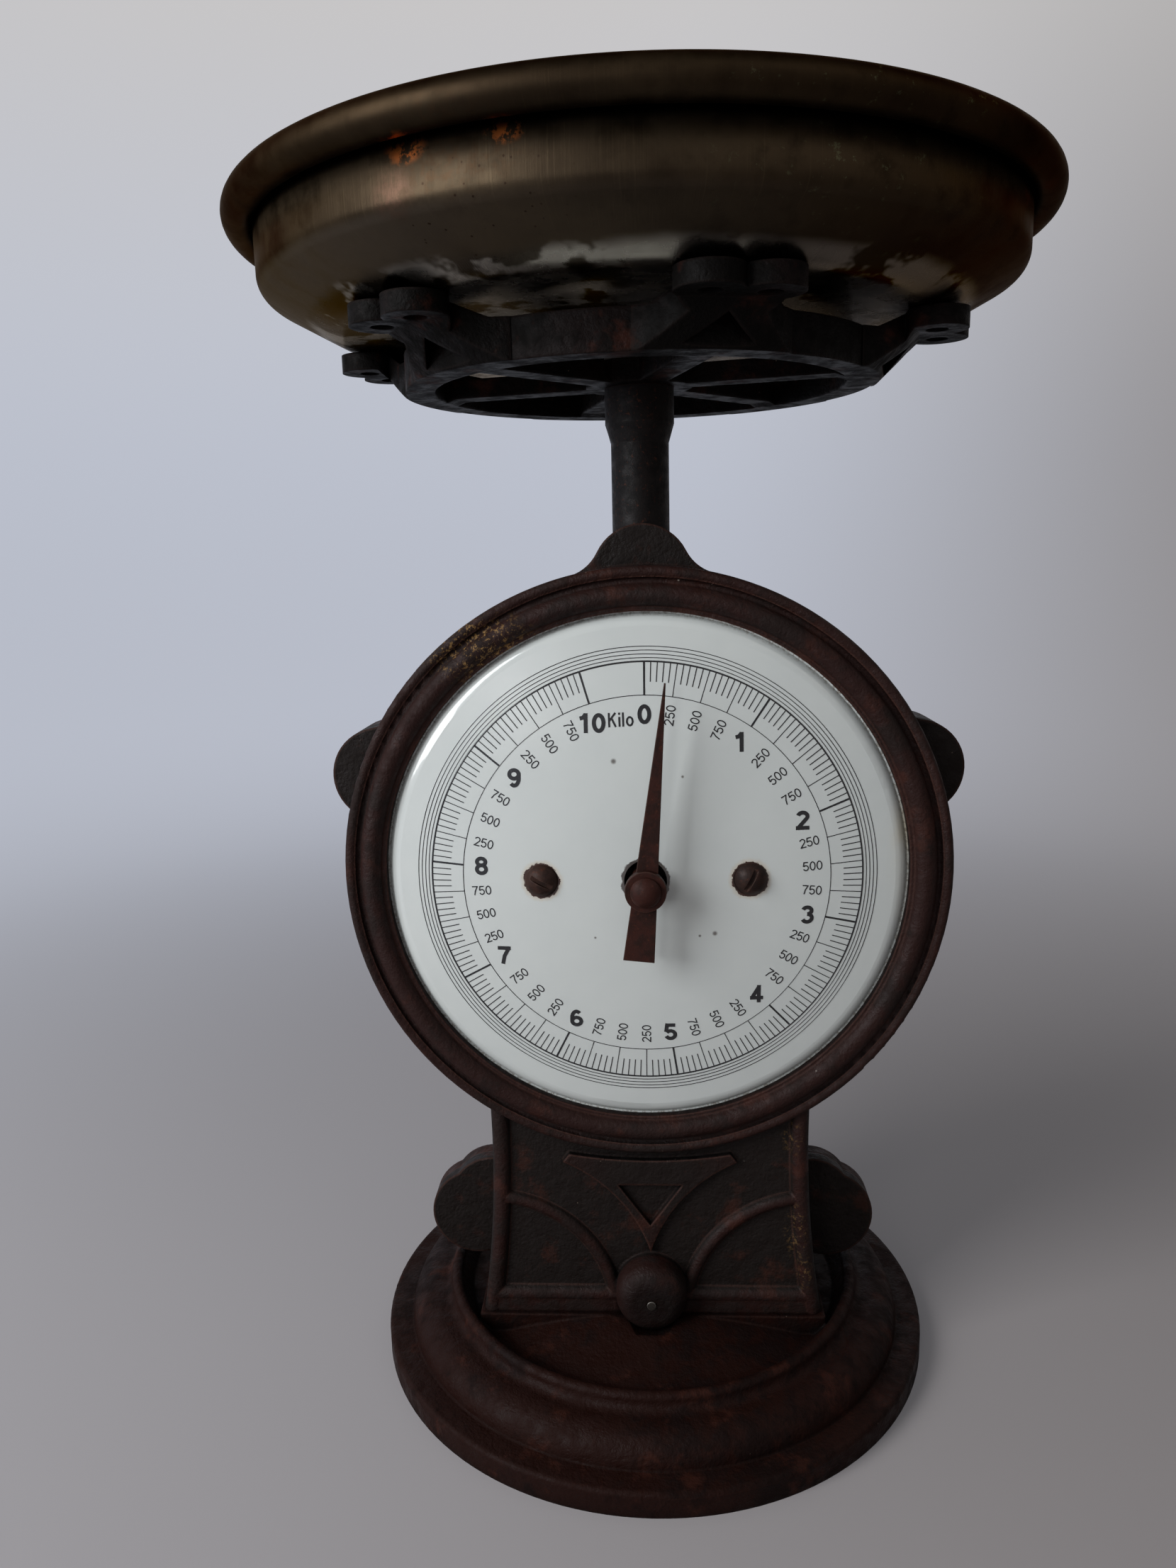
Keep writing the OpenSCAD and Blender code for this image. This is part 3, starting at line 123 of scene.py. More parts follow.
class Finish:
    """A material in the making: each call adds a node and returns its output."""

    def __init__(self, name):
        self.material = bpy.data.materials.new(name)
        self.material.use_nodes = True
        self.tree = self.material.node_tree
        self.tree.nodes.clear()
        self.place = self.add("TexCoord").outputs["Object"]

    def add(self, kind, inputs=None, **settings):
        """A shader node, with values or other nodes' outputs on its inputs."""
        node = self.tree.nodes.new("ShaderNode" + kind)
        for key, value in settings.items():
            setattr(node, key, value)
        for socket, value in (inputs or {}).items():
            if isinstance(value, bpy.types.NodeSocket):
                self.tree.links.new(value, node.inputs[socket])
            else:
                node.inputs[socket].default_value = value
        return node

    def noise(self, scale, detail=3.0, roughness=0.55, vector=None):
        """Cloudy noise with scale clouds a metre."""
        vector = self.place if vector is None else vector
        node = self.add("TexNoise", {"Vector": vector, "Scale": scale, "Detail": detail, "Roughness": roughness})
        return node.outputs[0]

    def sum(self, a, b):
        return self.add("Math", {0: a, 1: b}, operation="ADD").outputs[0]

    def times(self, a, b):
        return self.add("Math", {0: a, 1: b}, operation="MULTIPLY").outputs[0]

    def maths(self, operation, a, b=0.0):
        return self.add("Math", {0: a, 1: b}, operation=operation).outputs[0]

    def band(self, value, low, high, out_low=0.0, out_high=1.0):
        """Runs smoothly from out_low to out_high as value goes from low to high."""
        node = self.add("MapRange", {0: value, 1: low, 2: high, 3: out_low, 4: out_high},
                        interpolation_type="SMOOTHSTEP")
        return node.outputs[0]

    def mix(self, share, a, b):
        """Colour a, or b where share is 1."""
        return self.add("Mix", {0: share, 6: a, 7: b}, data_type="RGBA").outputs[2]

    def darker(self, share, a, b):
        """Colour a, times b where share is 1."""
        return self.add("Mix", {0: share, 6: a, 7: b}, data_type="RGBA", blend_type="MULTIPLY").outputs[2]

    def parts(self, vector=None):
        """The x, y and z of a vector, or of the place in metres."""
        node = self.add("SeparateXYZ", {0: self.place if vector is None else vector})
        return node.outputs[0], node.outputs[1], node.outputs[2]

    def near(self, centre, reach, stretch=(1, 1, 1)):
        """1 at a point in millimetres, falling to 0 at reach millimetres from it."""
        shares = [1 / (reach * MM * s) for s in stretch]
        moved = self.add("VectorMath", {0: self.place, 1: [c * MM for c in centre]}, operation="SUBTRACT")
        scaled = self.add("VectorMath", {0: moved.outputs[0], 1: shares}, operation="MULTIPLY")
        far = self.add("VectorMath", {0: scaled.outputs[0]}, operation="LENGTH").outputs["Value"]
        return self.band(far, 1.0, 0.25)

    def specks(self, per_metre, size, share):
        """Small round spots: one in some cells of a grid with per_metre cells a metre."""
        cells = self.add("TexVoronoi", {"Vector": self.place, "Scale": per_metre})
        chance = self.add("SeparateColor", {0: cells.outputs["Color"]}).outputs[0]
        spot = self.band(cells.outputs["Distance"], size, size * 0.6)
        return self.times(spot, self.band(chance, share, share * 0.98))

    def soft_edges(self, radius):
        """The normal of edges rounded by radius, and a mask of where they lie."""
        rounded = self.add("Bevel", {"Radius": radius}, samples=6).outputs[0]
        plain = self.add("NewGeometry").outputs["Normal"]
        facing = self.add("VectorMath", {0: rounded, 1: plain}, operation="DOT_PRODUCT").outputs["Value"]
        return rounded, self.band(facing, 0.997, 0.93)

    def hollows(self, reach):
        """1 in the open, less in corners and grooves."""
        return self.add("AmbientOcclusion", {"Distance": reach}, samples=6).outputs["AO"]

    def bump(self, height, distance, strength=1.0, normal=None):
        """The normal of a surface that stands out by height times distance."""
        inputs = {"Height": height, "Distance": distance, "Strength": strength}
        if normal is not None:
            inputs["Normal"] = normal
        return self.add("Bump", inputs).outputs[0]

    def surface(self, **inputs):
        """The finished material, with these inputs on its shader."""
        shader = self.add("BsdfPrincipled", {k.replace("_", " "): v for k, v in inputs.items()})
        output = self.add("OutputMaterial")
        self.tree.links.new(shader.outputs[0], output.inputs["Surface"])
        return self.material


def iron_finish(name, rust, soot, worn, soot_from=0.5, marks=None, soot_where=None, shine=0.14):
    """Sand-cast iron: rust over soot-black, paler along its edges, darker in its hollows as painted shade, with
    dust specks and a grain.
    """
    f = Finish(name)
    broad, mottle, grain = f.noise(30, 4), f.noise(190, 5, 0.6), f.noise(850, 3, 0.65)
    rounded, edge = f.soft_edges(1.3 * MM)
    opening = f.hollows(9 * MM)
    mixed = f.sum(f.times(broad, 0.6), f.times(mottle, 0.4))
    black = f.band(mixed, soot_from - 0.05, soot_from + 0.06)
    if soot_where is not None:
        black = f.maths("MAXIMUM", f.times(black, 0.6), soot_where(f, mottle))
    tone = f.mix(black, rust, soot)
    fresh_rust, hollow_shade = colour(68, 36, 27), colour(70, 60, 60)
    dust, grit = colour(150, 142, 132), colour(120, 104, 92)
    tone = f.mix(f.times(f.band(f.noise(75, 5, 0.65), 0.55, 0.7), 0.45), tone, fresh_rust)
    tone = f.mix(f.times(f.times(edge, f.band(opening, 0.45, 0.8)), 0.55), tone, worn)
    # Painted shade: the colour is multiplied darker in corners and grooves, by how closed in they are.
    tone = f.darker(f.band(opening, 0.75, 0.2, 0.0, 0.85), tone, hollow_shade)
    if marks:
        tone = marks(f, tone)
    tone = f.mix(f.times(f.specks(95, 0.035, 0.16), 0.8), tone, dust)
    tone = f.mix(f.times(f.specks(240, 0.06, 0.07), 0.6), tone, grit)
    height = f.sum(f.times(grain, 0.45), mottle)
    return f.surface(Base_Color=tone, Roughness=f.band(mottle, 0.35, 0.7, 0.45, 0.75), Specular_IOR_Level=shine,
                     Normal=f.bump(height, 0.7 * MM, 1.0, rounded))


def gilt_and_soot(f, tone):
    """Traces of old gilding on the ring's upper left and down the neck's right bar, and soot on the boss."""
    flakes = f.band(f.noise(620, 5, 0.75), 0.53, 0.62)
    places = f.near(*RING_GILT)
    for place in BAR_GILT:
        places = f.maths("MAXIMUM", places, f.times(f.near(*place), 0.4))
    old_gilt, lamp_black = colour(150, 116, 70), colour(17, 12, 11)
    tone = f.mix(f.times(f.times(flakes, places), 0.8), tone, old_gilt)
    return f.mix(f.times(f.near(*BOSS_SOOT), 0.85), tone, lamp_black)


def housing_soot(f, mottle):
    """Where the front casting is black: the sunk panel with its raised V, the lobes and the ring's hollow."""
    depth = f.parts()[1]
    depth = f.sum(depth, f.times(mottle, 1.6 * MM))
    raised_v = f.near(*RAISED_V)
    sunk = f.band(depth, -33.2 * MM, -31.4 * MM, 0.0, 0.9)
    return f.maths("MAXIMUM", sunk, f.times(raised_v, 0.85))


def brass_underside(f, tone, broad, x, z, outside):
    """A painted reflection on the underside, as seen from below: its slope paler towards the left, and silvery
    patches on the dull flat floor.
    """
    # Painted reflection: the slope paler towards the left, where the pale backdrop is mirrored.
    pale_left_reflection = f.times(outside, f.band(z, 358 * MM, 355 * MM))
    tone = f.mix(f.times(pale_left_reflection, f.band(x, -20 * MM, -95 * MM, 0.15, 0.6)), tone, colour(112, 103, 92))
    floor = f.times(outside, f.band(f.sum(z, f.times(broad, 5 * MM)), 352.5 * MM, 350 * MM))
    # The flat floor's own dull brass, with silvery patches of painted reflection.
    patches = f.band(f.noise(34, 4, 0.6), 0.47, 0.52)
    dull, reflected_silver = colour(72, 66, 58), colour(168, 162, 152)
    return f.mix(f.times(floor, 0.9), tone, f.mix(patches, dull, reflected_silver)), floor


def brass_tarnish(f, tone, mottle, fine):
    """A golden patch with orange flecks and pits at the wall's left, copper at its right, green on the rim."""
    gold = f.times(f.near(*GOLDEN_PATCH), f.band(f.noise(150, 4, 0.65), 0.4, 0.56))
    golden = f.mix(f.band(fine, 0.4, 0.6), colour(54, 39, 27), colour(48, 41, 32))
    tone = f.mix(f.times(gold, 0.6), tone, golden)
    flecks = f.maths("MAXIMUM", f.near(*ORANGE_FLECKS[0]), f.near(*ORANGE_FLECKS[1]))
    flecks = f.times(flecks, f.band(f.noise(330, 4, 0.7), 0.46, 0.56))
    tone = f.mix(f.times(flecks, 0.65), tone, colour(214, 120, 58))
    pink = f.times(f.near(*PINK_TARNISH), f.band(fine, 0.4, 0.6, 0.2, 0.7))
    tone = f.mix(pink, tone, colour(80, 60, 49))
    copper = f.times(f.near(*COPPER_TARNISH), f.band(mottle, 0.42, 0.6, 0.0, 0.5))
    tone = f.mix(copper, tone, colour(96, 46, 24))
    pits = f.times(f.specks(520, 0.2, 0.28), f.near(*PITTED_BRASS))
    tone = f.mix(pits, tone, colour(44, 34, 26))
    green = f.times(f.band(f.noise(330, 5, 0.75), 0.6, 0.68), f.near(*GREEN_TARNISH))
    return f.mix(f.times(green, 0.3), tone, colour(104, 108, 82))


def brass_finish():
    """Spun brass gone brown, with upright scratches on its wall, darker along the rim, with painted shade on its
    right side and in the hollows under its rim.
    """
    f = Finish("tarnished_brass")
    x, y, z = f.parts()
    turn = f.maths("ARCTAN2", y, x)
    across = f.maths("SQRT", f.sum(f.times(x, x), f.times(y, y)))
    streaks = f.add("CombineXYZ", {0: f.times(turn, 260.0), 1: f.times(f.sum(z, across), 22.0)}).outputs[0]
    scratch = f.noise(1.0, 4, 0.7, streaks)
    broad, mottle, fine = f.noise(18, 4), f.noise(90, 5, 0.62), f.noise(420, 4, 0.7)
    opening = f.hollows(3 * MM)
    brown, olive, stain, worn = colour(53, 44, 34), colour(73, 62, 48), colour(40, 32, 25), colour(96, 84, 64)
    tone = f.mix(f.band(f.sum(f.times(broad, 0.7), f.times(mottle, 0.3)), 0.4, 0.62), brown, olive)
    tone = f.mix(f.band(mottle, 0.5, 0.72, 0.0, 0.6), tone, stain)
    tone = f.mix(f.band(scratch, 0.55, 0.75, 0.0, 0.3), tone, worn)
    outside = f.band(f.parts(f.add("NewGeometry").outputs["Normal"])[2], 0.1, -0.1)
    tone, floor = brass_underside(f, tone, broad, x, z, outside)
    # Painted shade: the pan's right side is multiplied darker.
    painted_shade_right, rim = f.band(x, -20 * MM, 70 * MM), f.band(z, 369 * MM, 373 * MM, 0.0, 0.6)
    tone = f.darker(f.times(painted_shade_right, 0.6), tone, colour(160, 140, 124))
    tone = f.darker(rim, tone, colour(176, 164, 150))
    tone = brass_tarnish(f, tone, mottle, fine)
    # Painted shade: darker in hollows, as on the wall under the rolled rim.
    tone = f.darker(f.band(opening, 0.85, 0.25, 0.0, 0.9), tone, colour(60, 46, 34))
    rough = f.maths("SUBTRACT", f.band(mottle, 0.3, 0.7, 0.4, 0.54), f.times(floor, 0.22))
    height = f.sum(f.times(scratch, 0.5), f.times(mottle, 0.6))
    return f.surface(Base_Color=tone, Metallic=1.0, Roughness=rough, Specular_Tint=colour(172, 160, 146),
                     Normal=f.bump(height, 0.12 * MM, 0.6))


def enamel_finish():
    """Glossy bluish-white enamel, chipped at its screws and centre hole, with a few pits and stains at its edge."""
    f = Finish("white_enamel")
    x, y, z = f.parts()
    mottle, fine = f.noise(60, 4), f.noise(900, 4, 0.7)
    tone = f.mix(mottle, colour(212, 216, 213), colour(204, 209, 207))
    stain = f.times(f.near(*ENAMEL_STAIN), f.band(mottle, 0.4, 0.65, 0.2, 0.8))
    tone = f.mix(stain, tone, colour(206, 196, 170))
    up = f.sum(z, -dial_z)
    from_middle = f.maths("SQRT", f.sum(f.times(x, x), f.times(up, up)))
    rim = f.times(f.band(from_middle, 80.5 * MM, 82.6 * MM), f.band(fine, 0.46, 0.6))
    tone = f.mix(f.times(rim, 0.7), tone, colour(110, 92, 72))
    for side in (-1, 1):
        across = f.sum(x, -side * DIAL_SCREW_X * MM)
        from_screw = f.maths("SQRT", f.sum(f.times(across, across), f.times(up, up)))
        ragged = f.sum(from_screw, f.times(f.noise(420, 4, 0.7), -2.4 * MM))
        halo, chip = f.band(ragged, 6.0 * MM, 4.4 * MM), f.band(ragged, 4.55 * MM, 4.35 * MM)
        tone = f.mix(f.times(halo, 0.35), tone, colour(196, 170, 128))
        tone = f.mix(chip, tone, colour(60, 34, 24))
    for pit_x, pit_z, size in ENAMEL_PITS:
        pit = f.near((pit_x, -42, pit_z), size * 1.8, (1, 9, 1))
        tone = f.mix(f.times(pit, 0.85), tone, colour(78, 70, 64))
    ragged = f.sum(from_middle, f.times(f.noise(300, 4, 0.7), -2.4 * MM))
    worn_hole = f.band(ragged, 6.6 * MM, 6.2 * MM)
    tone = f.mix(f.times(worn_hole, 0.9), tone, colour(48, 30, 23))
    tone = f.mix(f.times(f.specks(70, 0.025, 0.1), 0.7), tone, colour(120, 116, 108))
    ripple = f.sum(f.noise(55, 2), f.times(f.noise(260, 3), 0.12))
    return f.surface(Base_Color=tone, Roughness=0.16, Coat_Weight=0.7, Coat_Roughness=0.06,
                     Normal=f.bump(ripple, 0.3 * MM, 0.5))


def rusty_finish(name, rust, dark):
    """Thin steel under brown rust: screws, pointer and shaft."""
    f = Finish(name)
    mottle, grain, broad = f.noise(300, 5, 0.65), f.noise(1500, 2), f.noise(60, 3)
    rounded, edge = f.soft_edges(0.5 * MM)
    tone = f.mix(f.band(f.sum(f.times(mottle, 0.6), f.times(broad, 0.4)), 0.42, 0.58), rust, dark)
    tone = f.mix(f.times(f.band(f.noise(700, 4, 0.7), 0.58, 0.7), 0.6), tone, colour(84, 46, 31))
    tone = f.mix(f.times(edge, 0.4), tone, colour(96, 72, 62))
    return f.surface(Base_Color=tone, Roughness=f.band(mottle, 0.3, 0.7, 0.4, 0.65), Specular_IOR_Level=0.13,
                     Normal=f.bump(f.sum(mottle, f.times(grain, 0.4)), 0.2 * MM, 0.8, rounded))


def steel_finish(name, tone_a, tone_b):
    """Dull oiled steel, as on the pieces behind the dial and under the foot."""
    f = Finish(name)
    mottle = f.noise(240, 4)
    rounded, edge = f.soft_edges(0.4 * MM)
    tone = f.mix(mottle, tone_a, tone_b)
    tone = f.mix(f.times(edge, 0.4), tone, colour(180, 176, 170))
    return f.surface(Base_Color=tone, Metallic=0.85, Roughness=f.band(mottle, 0.3, 0.7, 0.35, 0.55),
                     Normal=f.bump(mottle, 0.08 * MM, 0.6, rounded))


def rubber_finish():
    """Old matt rubber, on the stop under the shaft."""
    f = Finish("old_rubber")
    grain = f.noise(900, 4)
    return f.surface(Base_Color=f.mix(grain, colour(30, 29, 28), colour(48, 46, 44)), Roughness=0.8,
                     Normal=f.bump(grain, 0.15 * MM, 0.5))


def ink_finish():
    """Black print, a little worn, fired into the enamel."""
    f = Finish("black_print")
    worn = f.band(f.noise(500, 4, 0.7), 0.6, 0.75, 0.0, 0.5)
    return f.surface(Base_Color=f.mix(worn, colour(30, 31, 34), colour(88, 90, 94)), Roughness=0.2,
                     Coat_Weight=0.5, Coat_Roughness=0.06)


def paint(material, *names):
    """Gives CAD nodes their finish."""
    for name in names:
        slots = nodes[name].data.materials
        slots.clear()
        slots.append(material)


def finish_the_castings():
    """The four large castings: rusty foot, black and rusty housing and cover, and the spider in dark rust, made
    darker still as painted shade under the pan.
    """
    worn = colour(78, 50, 42)
    foot = iron_finish("rusty_foot", colour(32, 15, 11), colour(22, 11, 9), colour(48, 27, 21), 0.54, shine=0.08)
    paint(foot, "base")
    housing = iron_finish("black_and_rust_housing", colour(39, 22, 19), colour(24, 20, 18), worn, 0.52,
                          gilt_and_soot, housing_soot)
    paint(housing, "front_casting")
    cover = iron_finish("black_and_rust_cover", colour(44, 23, 18), colour(26, 21, 19), worn, 0.48)
    paint(cover, "rear_cover")
    # The spider's dark rust, darkened further as painted shade for the shade under the pan.
    carrier = iron_finish("carrier_iron_painted_shade", colour(20, 14, 13), colour(12, 10, 9), colour(34, 27, 25), 0.46,
                          shine=0.05)
    paint(carrier, "pan_carrier")


def finish_the_small_pieces():
    """The dial and all that is turned, sawn or bent."""
    paint(enamel_finish(), "dial_plate")
    paint(rusty_finish("brown_shaft", colour(22, 17, 16), colour(15, 12, 12)), "shaft")
    paint(rusty_finish("brown_pointer", colour(53, 28, 23), colour(38, 22, 18)), "pointer", "pointer_hub",
          "pointer_sleeve", "cap_nut")
    paint(rusty_finish("brown_screws", colour(56, 38, 32), colour(38, 27, 24)), "dial_screws")
    paint(steel_finish("oiled_steel", colour(96, 90, 84), colour(66, 60, 56)), "base_bolts", "cover_screws",
          "boss_pin", "buffer_post", "hanger_bar", "movement_plate", "plate_screws", "rear_bridge",
          "bridge_screws", "crosshead", "crosshead_nut", "rack", "rack_screw", "carrier_nut", "spindle")
    paint(steel_finish("bearing_brass", colour(150, 122, 70), colour(112, 88, 50)), "top_bush", "lower_bush",
          "dial_posts", "front_bearing", "rear_bearing", "pinion")
    paint(rubber_finish(), "buffer_pad")


def add_piece(name, mesh, body):
    """A piece of its own in the scene, that moves with a body."""
    piece = bpy.data.objects.new(name, mesh)
    bpy.context.scene.collection.objects.link(piece)
    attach(piece, body)
    return piece


def stretching_springs():
    """The two springs that hang from the bar in the housing: smooth copies with the spring wire's finish, in place
    of the CAD springs.
    """
    wire = steel_finish("spring_wire", colour(88, 84, 80), colour(60, 56, 54))
    for side in ("left", "right"):
        node = nodes["spring_" + side]
        shape = bmesh.new()
        shape.from_mesh(node.data)
        bmesh.ops.remove_doubles(shape, verts=shape.verts, dist=1e-6)
        mesh = bpy.data.meshes.new(side + "_spring")
        shape.to_mesh(mesh)
        shape.free()
        mesh.shade_smooth()
        mesh.materials.append(wire)
        piece = bpy.data.objects.new(side + "_spring", mesh)
        bpy.context.scene.collection.objects.link(piece)
        # The stiff hooks at a spring's ends are 6 mm long
        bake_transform(piece)
        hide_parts("spring_" + side)


# Trees of nodes, for what repeats on the dial and for the spun pan
def new_tree(name, inputs):
    """A tree with these numbers and a material as inputs, and what its ends give and take."""
    tree = bpy.data.node_groups.new(name, "GeometryNodeTree")
    for label in inputs:
        tree.interface.new_socket(label, in_out="INPUT", socket_type="NodeSocketFloat")
    tree.interface.new_socket("Material", in_out="INPUT", socket_type="NodeSocketMaterial")
    tree.interface.new_socket("Geometry", in_out="OUTPUT", socket_type="NodeSocketGeometry")
    return tree, tree.nodes.new("NodeGroupInput").outputs, tree.nodes.new("NodeGroupOutput").inputs


def wired(tree, kind, inputs=None, **settings):
    """Adds a node, with values or other nodes' outputs on its inputs, and returns its outputs."""
    node = tree.nodes.new(kind)
    for key, value in settings.items():
        setattr(node, key, value)
    for socket, value in (inputs or {}).items():
        if isinstance(value, bpy.types.NodeSocket):
            tree.links.new(value, node.inputs[socket])
        else:
            node.inputs[socket].default_value = value
    return node.outputs


def mark_tree():
    """Count marks, each a thin bar from Inner to Outer, Step apart round the Y axis from First on."""
    tree, given, out = new_tree("marks_round_a_dial", ("Count", "First", "Step", "Inner", "Outer", "Width",
                                                       "Thickness"))
    points = wired(tree, "GeometryNodeMeshLine", {"Count": given["Count"], "Offset": (0, 0, 0)})[0]
    length = wired(tree, "ShaderNodeMath", {0: given["Outer"], 1: given["Inner"]}, operation="SUBTRACT")[0]
    reach = wired(tree, "ShaderNodeMath", {0: given["Outer"], 1: given["Inner"]}, operation="ADD")[0]
    half = wired(tree, "ShaderNodeMath", {0: reach, 1: 0.5}, operation="MULTIPLY")[0]
    size = wired(tree, "ShaderNodeCombineXYZ", {0: given["Width"], 1: given["Thickness"], 2: length})[0]
    bar = wired(tree, "GeometryNodeMeshCube", {"Size": size})[0]
    lift = wired(tree, "ShaderNodeCombineXYZ", {2: half})[0]
    bar = wired(tree, "GeometryNodeTransform", {"Geometry": bar, "Translation": lift})[0]
    steps = {0: wired(tree, "GeometryNodeInputIndex")[0], 1: given["Step"], 2: given["First"]}
    steps = wired(tree, "ShaderNodeMath", steps, operation="MULTIPLY_ADD")[0]
    turn = wired(tree, "FunctionNodeAxisAngleToRotation", {"Axis": (0, 1, 0), "Angle": steps})[0]
    marks = wired(tree, "GeometryNodeInstanceOnPoints", {"Points": points, "Instance": bar, "Rotation": turn})[0]
    marks = wired(tree, "GeometryNodeRealizeInstances", {"Geometry": marks})[0]
    marks = wired(tree, "GeometryNodeSetMaterial", {"Geometry": marks, "Material": given["Material"]})[0]
    tree.links.new(marks, out[0])
    return tree


def hoop_tree():
    """A flat ring round the Y axis."""
    tree, given, out = new_tree("hoop_round_a_dial", ("Radius", "Width", "Thickness"))
    line = wired(tree, "GeometryNodeCurvePrimitiveCircle", {"Resolution": 256, "Radius": given["Radius"]})[0]
    section = {"Width": given["Width"], "Height": given["Thickness"]}
    section = wired(tree, "GeometryNodeCurvePrimitiveQuadrilateral", section)[0]
    ring = wired(tree, "GeometryNodeCurveToMesh", {"Curve": line, "Profile Curve": section})[0]
    ring = wired(tree, "GeometryNodeTransform", {"Geometry": ring, "Rotation": (math.pi / 2, 0, 0)})[0]
    ring = wired(tree, "GeometryNodeRealizeInstances", {"Geometry": ring})[0]
    ring = wired(tree, "GeometryNodeSetMaterial", {"Geometry": ring, "Material": given["Material"]})[0]
    tree.links.new(ring, out[0])
    return tree


def by_number(tree, kind, values):
    """One of the values for each point, by the point's number."""
    node = tree.nodes.new("GeometryNodeIndexSwitch")
    node.data_type = kind
    while len(node.index_switch_items) < len(values):
        node.index_switch_items.new()
    tree.links.new(wired(tree, "GeometryNodeInputIndex")[0], node.inputs[0])
    for socket, value in zip(node.inputs[1:], values):
        if isinstance(value, bpy.types.NodeSocket):
            tree.links.new(value, socket)
        else:
            socket.default_value = value
    return node.outputs[0]


def pan_tree():
    """A pan spun from sheet round the Z axis: a flat floor, a slope, an upright wall and a rolled rim."""
    tree, given, out = new_tree("spun_pan", ("Floor radius", "Floor height", "Wall radius", "Corner height",
                                             "Rim height", "Rim radius", "Roll radius", "Sheet", "Foot rounding",
                                             "Corner rounding"))

    def shifted(label, share):
        """One of the sizes, moved by a share of the sheet's thickness."""
        values = {0: given["Sheet"], 1: share, 2: given[label]}
        return wired(tree, "ShaderNodeMath", values, operation="MULTIPLY_ADD")[0]

    outline = ((0.0, given["Floor height"]), (given["Floor radius"], given["Floor height"]),
               (given["Wall radius"], given["Corner height"]), (given["Wall radius"], given["Rim height"]),
               (shifted("Wall radius", -1.0), given["Rim height"]),
               (shifted("Wall radius", -1.0), shifted("Corner height", 0.6)),
               (shifted("Floor radius", -0.25), shifted("Floor height", 1.0)), (0.0, shifted("Floor height", 1.0)))
    corners = [wired(tree, "ShaderNodeCombineXYZ", {0: r, 1: z})[0] for r, z in outline]
    line = wired(tree, "GeometryNodeMeshLine", {"Count": len(corners), "Offset": (0, 0, 0)})[0]
    places = by_number(tree, "VECTOR", corners)
    line = wired(tree, "GeometryNodeSetPosition", {"Geometry": line, "Position": places})[0]
    line = wired(tree, "GeometryNodeMeshToCurve", {"Mesh": line})[0]
    bends = by_number(tree, "FLOAT", (0.0, given["Foot rounding"], given["Corner rounding"], 0.0, 0.0,
                                      shifted("Corner rounding", -1.0), shifted("Foot rounding", -1.0), 0.0))
    line = wired(tree, "GeometryNodeFilletCurve", {"Curve": line, "Count": 8, "Radius": bends}, mode="POLY")[0]
    # A sweep measures the section from its own circle, here of 1 mm radius, and turns its Y downwards
    turned = {"Geometry": line, "Translation": (-MM, 0, 0), "Scale": (1, -1, 1)}
    line = wired(tree, "GeometryNodeTransform", turned)[0]
    axis = wired(tree, "GeometryNodeCurvePrimitiveCircle", {"Resolution": 192, "Radius": MM})[0]
    sheet = wired(tree, "GeometryNodeCurveToMesh", {"Curve": axis, "Profile Curve": line})[0]
    sheet = wired(tree, "GeometryNodeMergeByDistance", {"Geometry": sheet, "Distance": 0.001 * MM})[0]
    hoop = wired(tree, "GeometryNodeCurvePrimitiveCircle", {"Resolution": 192, "Radius": given["Rim radius"]})[0]
    section = wired(tree, "GeometryNodeCurvePrimitiveCircle", {"Resolution": 28, "Radius": given["Roll radius"]})[0]
    roll = wired(tree, "GeometryNodeCurveToMesh", {"Curve": hoop, "Profile Curve": section})[0]
    lift = wired(tree, "ShaderNodeCombineXYZ", {2: given["Rim height"]})[0]
    roll = wired(tree, "GeometryNodeTransform", {"Geometry": roll, "Translation": lift})[0]
    join = tree.nodes.new("GeometryNodeJoinGeometry")
    for half in (sheet, roll):
        tree.links.new(half, join.inputs[0])
    whole = wired(tree, "GeometryNodeRealizeInstances", {"Geometry": join.outputs[0]})[0]
    whole = wired(tree, "GeometryNodeSetMaterial", {"Geometry": whole, "Material": given["Material"]})[0]
    tree.links.new(whole, out[0])
    return tree


def grown(tree, material, values):
    """The plain mesh that a tree makes with these inputs."""
    holder = bpy.data.objects.new("holder", bpy.data.meshes.new("holder"))
    bpy.context.scene.collection.objects.link(holder)
    modifier = holder.modifiers.new("tree", "NODES")
    modifier.node_group = tree
    for item in tree.interface.items_tree:
        if item.in_out == "INPUT":
            modifier[item.identifier] = material if item.name == "Material" else values[item.name]
    bpy.context.view_layer.update()
    mesh = bpy.data.meshes.new_from_object(holder.evaluated_get(bpy.context.evaluated_depsgraph_get()))
    bpy.data.objects.remove(holder)
    return mesh


def spun_pan():
    """The brass pan with the crisp bends of spun sheet, on the carrier's pads."""
    brass = brass_finish()
    sizes = {label: size * MM for label, size in PAN_SIZES.items()}
    mesh = grown(pan_tree(), brass, {**sizes, "Floor height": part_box("pan")[0].z})
    shape = bmesh.new()
    shape.from_mesh(mesh)
    bmesh.ops.recalc_face_normals(shape, faces=shape.faces)
    shape.to_mesh(mesh)
    shape.free()
    mesh.shade_smooth()
    piece = add_piece("spun_pan", mesh, "pan")
    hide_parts("pan")


